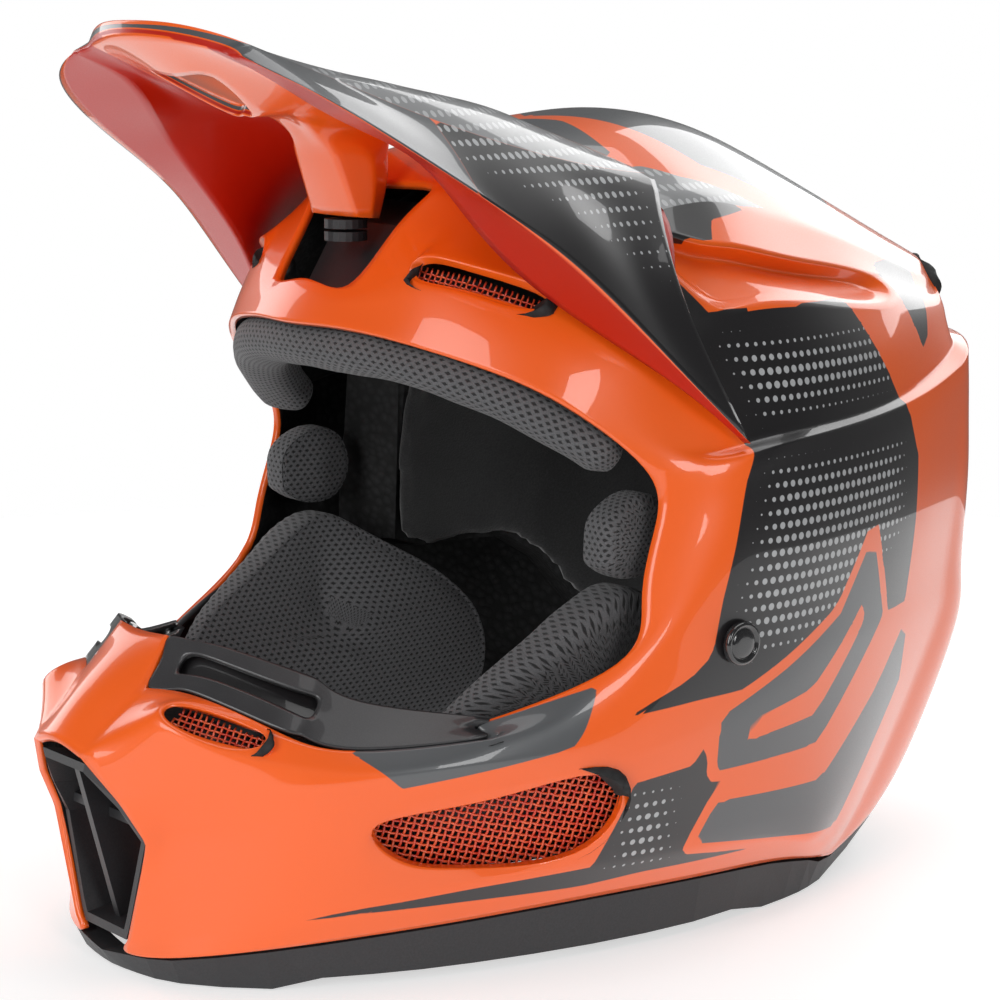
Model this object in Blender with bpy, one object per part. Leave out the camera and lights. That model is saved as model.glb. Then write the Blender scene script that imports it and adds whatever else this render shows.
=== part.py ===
"""Full-face off-road helmet with a peak, built as separate pieces around one moulded shell.

Frame: the wearer faces -Y, +X is the wearer's left, +Z is up, and Z = 0 is the plane the rim stands on.
The tables of points below are in millimetres, for the wearer's left half; the right half is its mirror.
"""

import math

import bmesh
import bpy
import numpy as np
from mathutils import Matrix, Vector
from mathutils.bvhtree import BVHTree

MM = 0.001

# ---------------------------------------------------------------- driving dimensions (mm)
SHELL_WALL = 4.0
GAP = 0.4

# ---------------------------------------------------------------- the shell's cage
# Each row runs from the front centre line (X = 0) round the side to the rear centre line.
# Columns 0-3 climb the front, 3-10 the side and 10-13 the back. None is a point inside an opening.
BASE_EDGE = [None, (14, -175.5, 8), (31, -170, 9.5), (54, -150, 14), (70, -122, 17), (82, -90, 19),
             (92, -48, 20.5), (96, -6, 20), (92, 30, 17), (88, 52, 13), (82, 68, 10), (66, 109, 20),
             (38, 131, 28), (0, 138, 31)]
LOW_CREASE = [None, (16, -176, 13), (33, -168, 17), (57, -149, 24), (74, -125, 29), (87, -95, 33),
              (102, -52, 36), (107, -12, 35), (106, 24, 32), (97, 56, 30), (81, 88, 33), (66, 124, 38),
              (37, 145, 44), (0, 151, 46)]
CHIN_CREASE = [None, (28, -176, 46), (35, -168, 50), (60, -150, 55), (78, -129.5, 60), (97, -94, 65),
               (112, -53, 70), (118.5, -16, 79), (117, 24, 84), (101, 74, 84), (79, 119, 80), (67, 144, 77),
               (37, 157, 76), (0, 161, 76)]
CHIN_FACET = [None, (24.5, -183, 60), (38, -171, 63), (58, -155, 67), (77.5, -133, 69), (98, -96, 72),
              (112, -54, 78), (120, -17, 94), (119.5, 22, 99), (103, 75, 99), (79.5, 124, 98), (67.5, 146, 98),
              (37, 160, 98), (0, 164, 98)]
BEAK_LINE = [(0, -192, 77), (14, -190.5, 74), (33, -176, 86), (52, -161, 78), (76.5, -132, 73.5),
             (97, -97, 76), (111, -55, 85), (120.5, -17, 108), (120.5, 21, 114), (104.5, 76, 117),
             (79.5, 127, 117), (67.5, 147, 118), (37, 162, 118), (0, 166, 118)]
TRIM_EDGE = [(0, -178, 93), (18, -169, 93), (34, -160, 92), (57, -147, 84), (74, -129, 78), (95, -95, 80.5),
             (109.5, -55, 92.5), (121, -17, 121), (121.5, 21, 128), (105, 77, 133), (80, 129, 136),
             (67.5, 148, 137), (37, 163, 138), (0, 167, 138)]
PORT_BOTTOM = [(0, -159, 107), (14, -158, 107.5), (32, -148, 105.5), (50, -133.5, 99), (67, -119, 90),
               (90, -90, 85), (107, -53, 100), (121, -17, 133), (121.5, 21, 141), (104.5, 78, 147),
               (79.5, 130, 152), (67, 148, 154), (37, 163, 155), (0, 167, 155)]
PORT_SIDE_LOW = [None] * 6 + [(107.5, -44, 120), (120.8, -15, 144), (120.5, 22, 151), (104, 78, 156),
                              (79, 131, 163), (66.5, 148, 167), (37, 163.5, 169), (0, 168, 169)]
PORT_SIDE_HIGH = [None] * 6 + [(106.5, -38, 140), (120.6, -12, 155), (119, 24, 160), (103, 79, 163.5),
                               (78.5, 132, 171), (66, 148, 175), (36, 164, 177), (0, 169, 178)]
PORT_TOP = [(0, -103, 201), (18, -100.5, 201), (36, -95.5, 199.5), (54, -88.5, 196), (77, -74, 188.5),
            (94, -58, 177), (105, -38.5, 157.5), (120.5, -9, 163.5), (117, 27, 166.5), (101, 81, 169.5),
            (78, 132, 176), (66, 148, 180.5), (36, 165, 184), (0, 170, 185)]
BROW_LIP = [(0, -99, 208), (19, -96.5, 207.5), (38, -91, 206.5), (56, -83.5, 204), (78, -68, 197.5),
            (95, -51, 186), (107, -32, 167), (115.5, -5, 166.5), (114, 28, 169), (98.5, 80, 171.5),
            (74, 129, 178.5), (61, 143, 184), (33, 157, 188), (0, 161, 189)]
BROW_HOOD = [(0, -94.5, 214.5), (20, -92, 213), (39, -86, 215.5), (57, -78, 212.5), (78, -61, 206),
             (96, -42, 195), (105, -25, 184), (110.5, 0, 187), (109.5, 30, 188), (96, 78, 186.5),
             (69, 130, 188), (56, 145, 191.5), (30, 158, 195), (0, 162, 196)]
SCOOP_SILL = [(0, -77, 234), (26, -76, 233), (44, -70, 231.5), (60, -59, 226), (79, -44, 219),
              (93, -29, 213), (102.5, -12, 208.5), (104, 8, 208), (100, 40, 206), (87, 84, 202),
              (61, 136, 196), (49, 149, 199), (27, 158, 202), (0, 162, 203)]
SCOOP_LIP = [(0, -66, 244), (30, -66, 244), (44, -58, 239.5), (59, -50, 234), (74, -38, 231),
             (84, -23, 230), (89, -8, 227), (91, 10, 224.5), (87, 42, 218), (77, 86, 210),
             (54, 141, 199), (43, 151, 203.5), (23, 158, 208), (0, 161, 209)]
RIDGE = [(0, -52, 252), (21, -51, 251.5), (42, -48, 247.5), (57, -42, 242), (67, -30, 241),
         (71.5, -12, 241.5), (73.5, 6, 240.5), (73.5, 24, 237.5), (71, 50, 230.5), (64, 92, 219.5),
         (47, 147, 203), (38, 153, 208), (20, 159, 212.5), (0, 161, 214)]
# The crown inside the ridge: at columns 4 to 9, two points between the ridge and the centre line, and the centre.
CROWN = [[(46, -29, 249), (23, -31, 256), (0, -32, 258)],
         [(48, -12, 251.5), (24, -13, 260), (0, -14, 262)],
         [(50, 7, 252.5), (25, 7, 262), (0, 7, 265)],
         [(50, 26, 250.5), (25, 27, 262), (0, 27, 266)],
         [(48, 54, 244.5), (24, 56, 257), (0, 57, 261)],
         [(43, 95, 230), (21, 99, 240.5), (0, 101, 243.5)]]
SHELL_ROWS = [BASE_EDGE, LOW_CREASE, CHIN_CREASE, CHIN_FACET, BEAK_LINE, TRIM_EDGE, PORT_BOTTOM,
              PORT_SIDE_LOW, PORT_SIDE_HIGH, PORT_TOP, BROW_LIP, BROW_HOOD, SCOOP_SILL, SCOOP_LIP, RIDGE]

# ---------------------------------------------------------------- the visor's cage
# Stations from the front lip back. Each goes from the centre line out over the top to the crease and down the
# flank to the rim, then back in underneath: ridge, wall, channel edge, hole edge and centre line.
VISOR = [
    [(0, -158, 296.5), (20, -155.5, 295.7), (36, -150, 292.8), (46, -145.5, 289.5), (50, -147, 287.3),
     (53, -149, 284.8), (45, -149.5, 285), (40, -150.5, 287), (33, -152, 288.5), (19, -156, 290.5), (0, -158.5, 291.5)],
    [(0, -146, 284.5), (18, -143, 285), (40, -140, 288), (56, -136.3, 284.2), (64, -139.5, 281),
     (72, -142, 277), (43, -133, 277.5), (41, -134, 280), (34, -136, 281.5), (16, -139, 279.5), (0, -142, 279)],
    [(0, -116, 271), (9, -117.5, 271.5), (46, -120, 282), (64, -122, 277), (75, -124, 271.5), (85, -125, 264.5),
     (52, -119, 267.5), (49, -118, 271), (40, -117, 275.5), (8, -119, 267.5), (0, -118, 267)],
    [(0, -102, 269), (15, -102, 270), (49, -104, 279), (69, -107, 270), (81, -107, 261.5), (91, -105, 251.5),
     (66, -105, 258), (58, -103, 265), (42, -101, 272), (12, -101, 266), (0, -101, 265.5)],
    [(0, -84, 268.5), (17, -83, 269.5), (50, -84, 275), (74, -84, 261.5), (87, -86, 250), (97, -85, 238),
     (72, -91, 244), (64, -86, 256), (46, -82, 268), (16, -81, 265), (0, -82, 264.5)],
    [(0, -70, 268.5), (19, -67, 269), (48, -63, 271), (77, -56, 253.5), (95, -60, 238), (107, -64, 220),
     (79, -66, 216.5), (73, -61, 238), (53, -58, 259), (18, -65, 265), (0, -68, 264.5)],
    [(0, -60, 268.5), (20, -54, 268.5), (46, -47, 266.5), (79, -32, 248.5), (101, -41, 221), (116, -36, 191),
     (109, -36, 188), (96, -38, 217), (73, -33, 244), (20, -52.5, 264.5), (0, -58, 264.5)],
    [(0, -56, 268), (21, -49, 267.5), (47, -34, 261.5), (77, -13, 246.5), (106, -27, 213.5), (120, -10, 166.5),
     (117, -10.5, 166.5), (102.5, -26, 213), (74.5, -15, 243.5), (21, -48, 264), (0, -54.5, 264.5)]]
VISOR_STRUT = [[(0, -92, 256), (11, -91, 255.5), (15.5, -79, 254), (12, -70, 253), (0, -70, 253)],
               [(0, -84, 234), (12.5, -83, 234), (14, -78, 233.5), (11, -73, 233), (0, -73, 233)]]
STRUT_FOOT = (0, -78.5, 233)

# ---------------------------------------------------------------- the rest of the driving dimensions (mm)
SHIFT_Y = 10.735
GUARD_WALL = 2.2
GUARD_SEAT = 5.0
GUARD_END = (0.07, 0.16)
ROOT_OF_GUARD = (0.45, -104.0, 62.0)
ON_CENTRE = 1e-6
FOAM_CENTRE = (0.0, 25.0, 110.0)
FOAM_SPAN = (108.0, 134.0, 147.0)
FOAM_CLEARANCE = 9.0
FOAM_WALL = 26.0
LINER_WALL = 6.0
STRAP_WIDTH = 24.0
STRAP_WALL = 1.8
ANCHOR = (121.7, -15.0, 104.0)
ANCHOR_INSIDE = (106.0, -14.0, 97.0)
RING_BAR = (20.0, -46.0, 9.0)
RING_WIRE = 1.6
CAP_RADIUS = 7.0
MAGNET_RADIUS = 7.0

ORANGE = ((0.95, 0.13, 0.01), 0.15, 0.0)
GREY = ((0.22, 0.22, 0.23), 0.45, 0.0)
DARK = ((0.03, 0.03, 0.035), 0.6, 0.0)
RED_MESH = ((0.45, 0.02, 0.01), 0.4, 0.0)
FOAM = ((0.03, 0.03, 0.03), 0.9, 0.0)
FABRIC = ((0.12, 0.12, 0.125), 0.95, 0.0)
STEEL = ((0.6, 0.6, 0.62), 0.25, 1.0)


# ---------------------------------------------------------------- tools
def metres(point):
    """A point of the tables, in millimetres, as a position in metres with the box centred on the origin."""
    return Vector((point[0] * MM, (point[1] + SHIFT_Y) * MM, point[2] * MM))


def mix(a, b, share):
    """The point that lies a share of the way from a to b."""
    return tuple(p + (q - p) * share for p, q in zip(a, b))


def mirror(point):
    return (-point[0],) + tuple(point[1:])


def sunk(point, depth):
    """The point moved level towards the middle of the head by a depth."""
    inward = Vector((-point[0], -0.7 * point[1], 0)).normalized()
    return tuple(Vector(point) + inward * depth)


def paint(obj, finish):
    colour, roughness, metallic = finish
    name = obj.name + "_finish"
    made = bpy.data.materials.new(name)
    made.use_nodes = True
    shader = made.node_tree.nodes["Principled BSDF"]
    shader.inputs["Base Color"].default_value = (*colour, 1)
    shader.inputs["Roughness"].default_value = roughness
    shader.inputs["Metallic"].default_value = metallic
    obj.data.materials.append(made)


def solid(name, points, faces, finish, smooth=True):
    """An object from points in the tables' millimetres."""
    mesh = bpy.data.meshes.new(name)
    mesh.from_pydata([metres(p) for p in points], [], faces)
    obj = bpy.data.objects.new(name, mesh)
    bpy.context.scene.collection.objects.link(obj)
    paint(obj, finish)
    if smooth:
        mesh.shade_smooth()
        mesh.set_sharp_from_angle(angle=math.radians(40))
    return obj


def solid_from(name, bm, finish, smooth=True):
    """An object from a bmesh that is already in metres."""
    bmesh.ops.recalc_face_normals(bm, faces=bm.faces)
    mesh = bpy.data.meshes.new(name)
    bm.to_mesh(mesh)
    bm.free()
    obj = bpy.data.objects.new(name, mesh)
    bpy.context.scene.collection.objects.link(obj)
    paint(obj, finish)
    if smooth:
        mesh.shade_smooth()
        mesh.set_sharp_from_angle(angle=math.radians(40))
    return obj


class Cage:
    """The left half of a symmetrical control mesh, with creases, whose limit surface passes its points."""

    def __init__(self):
        self.points = []
        self.faces = []
        self.creases = {}

    def add(self, point):
        self.points.append(tuple(point))
        return len(self.points) - 1

    def crease(self, line, weight=1.0):
        for a, b in zip(line, line[1:]):
            self.creases[frozenset((a, b))] = weight

    def ring(self, outer, inner_points, weight=0.0):
        """A band of faces from an outer loop of indices, counterclockwise from outside, to new inner points."""
        inner = [self.add(p) for p in inner_points]
        count = len(outer)
        for i in range(count):
            j = (i + 1) % count
            self.faces.append([outer[i], outer[j], inner[j], inner[i]])
        if weight:
            self.crease(inner + inner[:1], weight)
        return inner

    def object(self, name, finish, wall, level=1):
        twin = {}
        points = list(self.points)
        for i, p in enumerate(self.points):
            if abs(p[0]) < ON_CENTRE:
                twin[i] = i
            else:
                twin[i] = len(points)
                points.append(mirror(p))
        faces = self.faces + [[twin[i] for i in reversed(f)] for f in self.faces]
        used = sorted({i for f in faces for i in f})
        rank = {i: n for n, i in enumerate(used)}
        obj = solid(name, [points[i] for i in used], [[rank[i] for i in f] for f in faces], finish, False)
        weights = {}
        for pair, weight in self.creases.items():
            a, b = tuple(pair)
            weights[frozenset((rank[a], rank[b]))] = weight
            weights[frozenset((rank[twin[a]], rank[twin[b]]))] = weight
        layer = obj.data.attributes.new("crease_edge", "FLOAT", "EDGE")
        for edge in obj.data.edges:
            layer.data[edge.index].value = weights.get(frozenset(edge.vertices), 0.0)
        subdivide = obj.modifiers.new("Subdivision", "SUBSURF")
        subdivide.levels = subdivide.render_levels = level
        settle(obj)
        if wall:
            thicken = obj.modifiers.new("Wall", "SOLIDIFY")
            thicken.thickness = wall * MM
            thicken.offset = -1
            thicken.use_quality_normals = True
        obj.data.shade_smooth()
        return obj


def evaluated(obj):
    """The object's mesh as its modifiers make it, as arrays of points and triangles in world space."""
    bpy.context.view_layer.update()
    seen = obj.evaluated_get(bpy.context.evaluated_depsgraph_get())
    mesh = seen.to_mesh()
    co = np.empty(len(mesh.vertices) * 3)
    mesh.vertices.foreach_get("co", co)
    faces = [tuple(p.vertices) for p in mesh.polygons]
    seen.to_mesh_clear()
    return co.reshape(-1, 3), faces


def settle(obj, rounds=4):
    """Moves a control mesh until its subdivided surface passes through the places where its points were put."""
    count = len(obj.data.vertices)
    goal = np.empty(count * 3)
    obj.data.vertices.foreach_get("co", goal)
    goal = goal.reshape(-1, 3)
    control = goal.copy()
    for _ in range(rounds):
        reached = evaluated(obj)[0][:count]
        control = control + (goal - reached)
        obj.data.vertices.foreach_set("co", control.ravel())
        obj.data.update()


def surface_tree(obj):
    points, faces = evaluated(obj)
    return BVHTree.FromPolygons([Vector(p) for p in points], faces)


def disc(name, centre, axis, radius, depth, finish, segments=20, dome=0.0):
    """A round plug about an axis, starting at its centre point and running a depth along the axis."""
    bm = bmesh.new()
    bmesh.ops.create_cone(bm, cap_ends=True, segments=segments, radius1=radius * MM,
                          radius2=(radius - dome) * MM, depth=depth * MM)
    turn = Vector((0, 0, 1)).rotation_difference(Vector(axis).normalized()).to_matrix().to_4x4()
    place = Matrix.Translation(metres(centre)) @ turn @ Matrix.Translation((0, 0, depth * MM / 2))
    bmesh.ops.transform(bm, matrix=place, verts=bm.verts)
    return solid_from(name, bm, finish)


def strip(name, sections, finish, closed=False, smooth=True):
    """A closed solid through equal loops of points: a tube with end caps, or a ring if it is closed."""
    bm = bmesh.new()
    loops = [[bm.verts.new(metres(p)) for p in section] for section in sections]
    pairs = list(zip(loops, loops[1:] + loops[:1])) if closed else list(zip(loops, loops[1:]))
    for a, b in pairs:
        for i in range(len(a)):
            j = (i + 1) % len(a)
            bm.faces.new((a[i], a[j], b[j], b[i]))
    if not closed:
        bm.faces.new(loops[0])
        bm.faces.new(list(reversed(loops[-1])))
    bmesh.ops.triangulate(bm, faces=[f for f in bm.faces if len(f.verts) > 4])
    return solid_from(name, bm, finish, smooth)


def smooth_path(points, per_span=4):
    """Points along a smooth curve through the given ones (Catmull-Rom)."""
    p = [Vector(q) for q in points]
    p = [2 * p[0] - p[1]] + p + [2 * p[-1] - p[-2]]
    made = []
    for a, b, c, d in zip(p, p[1:], p[2:], p[3:]):
        for k in range(per_span):
            t = k / per_span
            made.append(0.5 * (2 * b + (c - a) * t + (2 * a - 5 * b + 4 * c - d) * t * t
                               + (3 * b - a - 3 * c + d) * t ** 3))
    made.append(p[-2])
    return made


def webbing(name, route, finish, width=STRAP_WIDTH, wall=STRAP_WALL, across=(0, 1, 0), per_span=4):
    """A flat strap along a route, as wide as webbing across it."""
    path = smooth_path(route, per_span)
    sections = []
    for i, p in enumerate(path):
        ahead = (path[min(i + 1, len(path) - 1)] - path[max(i - 1, 0)]).normalized()
        side = Vector(across)
        side = (side - ahead * side.dot(ahead)).normalized()
        up = ahead.cross(side) * wall / 2
        side = side * width / 2
        sections.append([tuple(p + q) for q in (side + up, up - side, -side - up, side - up)])
    return strip(name, sections, finish)


def rounded_block(name, outline, low, high, finish, crown=3.0):
    """A pad: an outline in Y and Z, between an inner and an outer X for each corner, with softened faces."""
    middle = Vector((0, sum(p[0] for p in outline) / len(outline), sum(p[1] for p in outline) / len(outline)))
    sections = []
    for share, shrink in ((0.0, 0.8), (0.18, 0.97), (0.5, 1.0), (0.82, 0.97), (1.0, 0.85)):
        loop = []
        for (y, z), x0, x1 in zip(outline, low, high):
            loop.append((x0 + (x1 - x0) * share, middle.y + (y - middle.y) * shrink,
                         middle.z + (z - middle.z) * shrink))
        sections.append(loop)
    obj = strip(name, sections, finish)
    return obj


# ---------------------------------------------------------------- outer shell
def shell_cage():
    cage = Cage()
    grid = {}
    for r, row in enumerate(SHELL_ROWS):
        for c, point in enumerate(row):
            if point is not None:
                grid[r, c] = cage.add(point)
    removed = {(r, 0) for r in range(4)} | {(r, c) for r in (6, 7, 8) for c in range(6)}
    removed |= {(4, 2), (1, 4), (1, 5), (11, 0), (12, 0), (11, 2), (11, 3), (11, 11), (11, 12)}
    removed |= {(5, c) for c in (1, 2, 3, 4)} | {(12, c) for c in (5, 6, 7, 8)}
    for r in range(len(SHELL_ROWS) - 1):
        for c in range(len(BASE_EDGE) - 1):
            if (r, c) not in removed:
                cage.faces.append([grid[r, c], grid[r, c + 1], grid[r + 1, c + 1], grid[r + 1, c]])
    chin_opening(cage, grid)
    side_opening(cage, grid)
    brow_opening(cage, grid)
    scoop(cage, grid)
    guard_seat(cage, grid)
    crown(cage, grid)
    shell_creases(cage, grid)
    return cage


def chin_opening(cage, grid):
    corners = [grid[4, 2], grid[4, 3], grid[5, 3], grid[5, 2]]
    cage.ring(corners, [(36.5, -171.5, 86), (54, -155, 79), (57, -149.5, 82), (36.5, -164, 90)], 0.8)


def side_opening(cage, grid):
    corners = [grid[1, 4], grid[1, 5], grid[1, 6], grid[2, 6], grid[2, 5], grid[2, 4]]
    rim = [(79.5, -117, 42.5), (86, -97, 38), (101.5, -60, 41), (110.5, -57, 66), (95.5, -93, 61), (78.5, -125, 55)]
    lip = cage.ring(corners, rim, 1.0)
    cage.ring(lip, [sunk(p, 4) for p in rim], 0.6)


def brow_opening(cage, grid):
    corners = [grid[11, 2], grid[11, 3], grid[11, 4], grid[12, 4], grid[12, 3], grid[12, 2]]
    hood = [(43, -83.5, 216.2), (58.5, -75.5, 213.2), (76, -61, 207.5), (79, -57, 214), (60, -72.5, 221), (44, -81, 223.5)]
    hole = [(44, -82, 216.5), (59, -74, 213.5), (75, -60.5, 208), (75.5, -58, 212), (58.5, -71, 218.5), (45, -78.5, 221)]
    cage.ring(cage.ring(corners, hood, 0.9), hole, 0.6)


def scoop(cage, grid):
    cage.faces.append([grid[12, 5], grid[12, 6], grid[13, 5]])
    rim = [grid[12, 6], grid[12, 7], grid[12, 8], grid[12, 9], grid[13, 9], grid[13, 8], grid[13, 7], grid[13, 6],
           grid[13, 5]]
    floor = [(98, -9, 211), (98.5, 9, 210.5), (95, 39, 208.5), (82, 76, 205), (78, 77, 208), (83, 41, 213.5),
             (86, 10, 219.5), (84.5, -6, 222), (84.5, -17, 224)]
    f = cage.ring(rim, floor, 0.5)
    cage.crease(rim + rim[:1], 1.0)
    cage.faces += [[f[0], f[1], f[6], f[7]], [f[1], f[2], f[5], f[6]], [f[2], f[3], f[4], f[5]], [f[0], f[7], f[8]]]


def guard_sink(point, depth):
    inward = (Vector((ROOT_OF_GUARD[0] * point[0], ROOT_OF_GUARD[1], ROOT_OF_GUARD[2])) - Vector(point)).normalized()
    return tuple(Vector(point) + inward * depth)


def guard_seat(cage, grid):
    """The ledge of the chin, sunk by the wall of the nose guard that lies in it."""
    low = [cage.add(guard_sink(TRIM_EDGE[c], GUARD_SEAT)) for c in range(1, 6)]
    high = [cage.add(guard_sink(PORT_BOTTOM[c], GUARD_SEAT)) for c in range(1, 6)]
    for k in range(4):
        cage.faces.append([grid[5, k + 1], grid[5, k + 2], low[k + 1], low[k]])
        cage.faces.append([low[k], low[k + 1], high[k + 1], high[k]])
    cage.faces.append([grid[5, 1], low[0], high[0], grid[6, 1]])
    cage.faces.append([low[4], grid[5, 5], grid[6, 5], high[4]])
    cage.crease(low, 1.0)
    cage.crease([grid[5, c] for c in range(1, 6)], 1.0)
    cage.crease([low[0], high[0]], 1.0)
    cage.crease([low[4], high[4]], 1.0)
    cage.crease([low[4], grid[5, 5]], 1.0)
    cage.crease([low[0], grid[5, 1]], 1.0)


def crown(cage, grid):
    lanes = [[grid[14, 3], grid[14, 2], grid[14, 1], grid[14, 0]]]
    for k, points in enumerate(CROWN):
        lanes.append([grid[14, 4 + k]] + [cage.add(p) for p in points])
    lanes.append([grid[14, 10], grid[14, 11], grid[14, 12], grid[14, 13]])
    for a, b in zip(lanes, lanes[1:]):
        for j in range(3):
            cage.faces.append([a[j], b[j], b[j + 1], a[j + 1]])


def shell_creases(cage, grid):
    def line(row, first, last):
        return [grid[row, c] for c in range(first, last + 1)]
    cage.crease(line(1, 1, 9), 0.7)
    cage.crease(line(2, 1, 8), 0.9)
    cage.crease(line(3, 1, 4), 0.6)
    cage.crease(line(4, 2, 4), 0.4)
    cage.crease(line(9, 7, 12), 1.0)
    cage.crease(line(10, 6, 12), 0.8)
    cage.crease(line(14, 3, 12), 0.85)
    cage.crease(line(12, 4, 6), 0.3)
    cage.crease([grid[4, 1], grid[5, 1], grid[6, 1]], 1.0)
    cage.crease([grid[2, 2], grid[3, 2]], 0.3)
    cage.crease([grid[r, 10] for r in range(0, 10)], 0.9)


def nose_guard():
    """The soft moulding over the chin's ledge, with one slot on each side of the tongue."""
    stops = [(1, 0.0), (1, 0.45), (2, 0.0), (3, 0.0), (3, 0.35), (4, 0.0), (5, 0.0)]
    heights = [0.12, 0.38, 0.72, 1.0]
    cage = Cage()
    grid = {}
    for i, (c, share) in enumerate(stops):
        last = min(c + 1, 5)
        low = mix(TRIM_EDGE[c], TRIM_EDGE[last], share)
        high = mix(PORT_BOTTOM[c], PORT_BOTTOM[last], share)
        for j, h in enumerate(heights):
            point = mix(low, high, h)
            middle = mix(TRIM_EDGE[3], PORT_BOTTOM[3], h)
            if i == 0:
                point = mix(point, middle, GUARD_END[0])
            elif i == len(stops) - 1:
                point = mix(point, middle, GUARD_END[1])
            grid[i, j] = cage.add(point)
    for i in range(len(stops) - 1):
        for j in range(3):
            if not (j == 1 and 1 <= i <= 3):
                cage.faces.append([grid[i, j], grid[i + 1, j], grid[i + 1, j + 1], grid[i, j + 1]])
    for j in (1, 2):
        cage.crease([grid[i, j] for i in range(1, 5)], 0.6)
    return half_pair(cage, "nose_guard", GREY, GUARD_WALL)


def half_pair(cage, name, finish, wall):
    """The left piece and its mirror image, as two objects."""
    made = []
    for side, suffix in ((1, "_left"), (-1, "_right")):
        one = Cage()
        one.points = [(side * p[0], p[1], p[2]) for p in cage.points]
        one.faces = cage.faces if side == 1 else [list(reversed(f)) for f in cage.faces]
        one.creases = cage.creases
        made.append(single(one, name + suffix, finish, wall))
    return made


def single(cage, name, finish, wall, level=1):
    obj = solid(name, cage.points, cage.faces, finish, False)
    layer = obj.data.attributes.new("crease_edge", "FLOAT", "EDGE")
    for edge in obj.data.edges:
        layer.data[edge.index].value = cage.creases.get(frozenset(edge.vertices), 0.0)
    subdivide = obj.modifiers.new("Subdivision", "SUBSURF")
    subdivide.levels = subdivide.render_levels = level
    settle(obj)
    thicken = obj.modifiers.new("Wall", "SOLIDIFY")
    thicken.thickness = wall * MM
    thicken.offset = -1
    obj.data.shade_smooth()
    return obj


def visor():
    cage = Cage()
    rows = [[cage.add(p) for p in station] for station in VISOR]
    last = len(VISOR[0]) - 1
    for k, (a, b) in enumerate(zip(rows, rows[1:])):
        for i in range(last):
            hole = k == 1 and i in (0, last - 1)
            strut = k in (3, 4) and i == last - 1
            if not hole and not strut:
                cage.faces.append([a[i], a[i + 1], b[i + 1], b[i]][::-1])
    front, back = rows[0], rows[-1]
    for i in range(4):
        cage.faces.append([front[i], front[i + 1], front[last - 1 - i], front[last - i]])
        cage.faces.append([back[last - i], back[last - 1 - i], back[i + 1], back[i]])
    cage.faces.append([front[4], front[5], front[6]])
    cage.faces.append([back[6], back[5], back[4]])
    f, b = rows[1], rows[2]
    cage.faces.append([f[0], f[1], f[last - 1], f[last]][::-1])
    cage.faces.append([f[1], b[1], b[last - 1], f[last - 1]][::-1])
    cage.faces.append([b[1], b[0], b[last], b[last - 1]][::-1])
    strut_faces(cage, rows)
    for column, weight in ((3, 0.8), (5, 1.0), (6, 1.0)):
        cage.crease([row[column] for row in rows], weight)
    cage.crease([f[0], f[1], b[1], b[0]], 0.8)
    cage.crease([f[last], f[last - 1], b[last - 1], b[last]], 0.8)
    cage.crease(front[:6], 0.7)
    cage.crease(front[6:], 0.6)
    cage.crease(back, 1.0)
    obj = cage.object("visor", ORANGE, 0)
    bm = bmesh.new()
    bm.from_mesh(obj.data)
    bmesh.ops.recalc_face_normals(bm, faces=bm.faces)
    bm.to_mesh(obj.data)
    bm.free()
    return obj


def strut_faces(cage, rows):
    top = [rows[3][-1], rows[3][-2], rows[4][-2], rows[5][-2], rows[5][-1]]
    mid = [cage.add(p) for p in VISOR_STRUT[0]]
    low = [cage.add(p) for p in VISOR_STRUT[1]]
    foot = cage.add(STRUT_FOOT)
    for upper, lower in ((top, mid), (mid, low)):
        for i in range(4):
            cage.faces.append([lower[i], lower[i + 1], upper[i + 1], upper[i]])
    cage.faces.append([low[0], foot, low[2], low[1]])
    cage.faces.append([foot, low[4], low[3], low[2]])
    cage.crease(low, 1.0)
    cage.crease(mid[:3], 0.8)
    for i in (1, 2, 3):
        cage.crease([mid[i], low[i]], 0.9)


# ---------------------------------------------------------------- trim, grilles and ducts
def base_trim():
    half = []
    line = smooth_path([(0, -177, 6.5)] + BASE_EDGE[1:], 2)
    for k, p in enumerate(line):
        c = k / 2
        low = 0.0 if c <= 3 or 8 <= c <= 10 else 3.0
        if c > 10:
            low = p[2] - 8
        top = p[2] - 1.1
        half.append([(*sunk(p, 0.8)[:2], top), (*sunk(p, 4.5)[:2], low), (*sunk(p, 13)[:2], low),
                     (*sunk(p, 9)[:2], top)])
    other = [[mirror(p) for p in section] for section in reversed(half[1:-1])]
    return strip("base_trim", half + other, DARK, closed=True)


def grille(name, outline, push, finish=RED_MESH, wall=1.2):
    """A thin plate with the outline of an opening, pushed in behind it."""
    front = [Vector(p) for p in outline]
    middle = sum(front, Vector()) / len(front)
    normal = Vector()
    for a, b in zip(front, front[1:] + front[:1]):
        normal += (a - middle).cross(b - middle)
    normal.normalize()
    sections = []
    for depth in (push, push + wall):
        sections.append([tuple(p - normal * depth) for p in front])
    return strip(name, sections, finish, smooth=False)


def both(maker, name, outline, *rest):
    maker(name + "_left", outline, *rest)
    maker(name + "_right", [mirror(p) for p in reversed(outline)], *rest)


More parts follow.
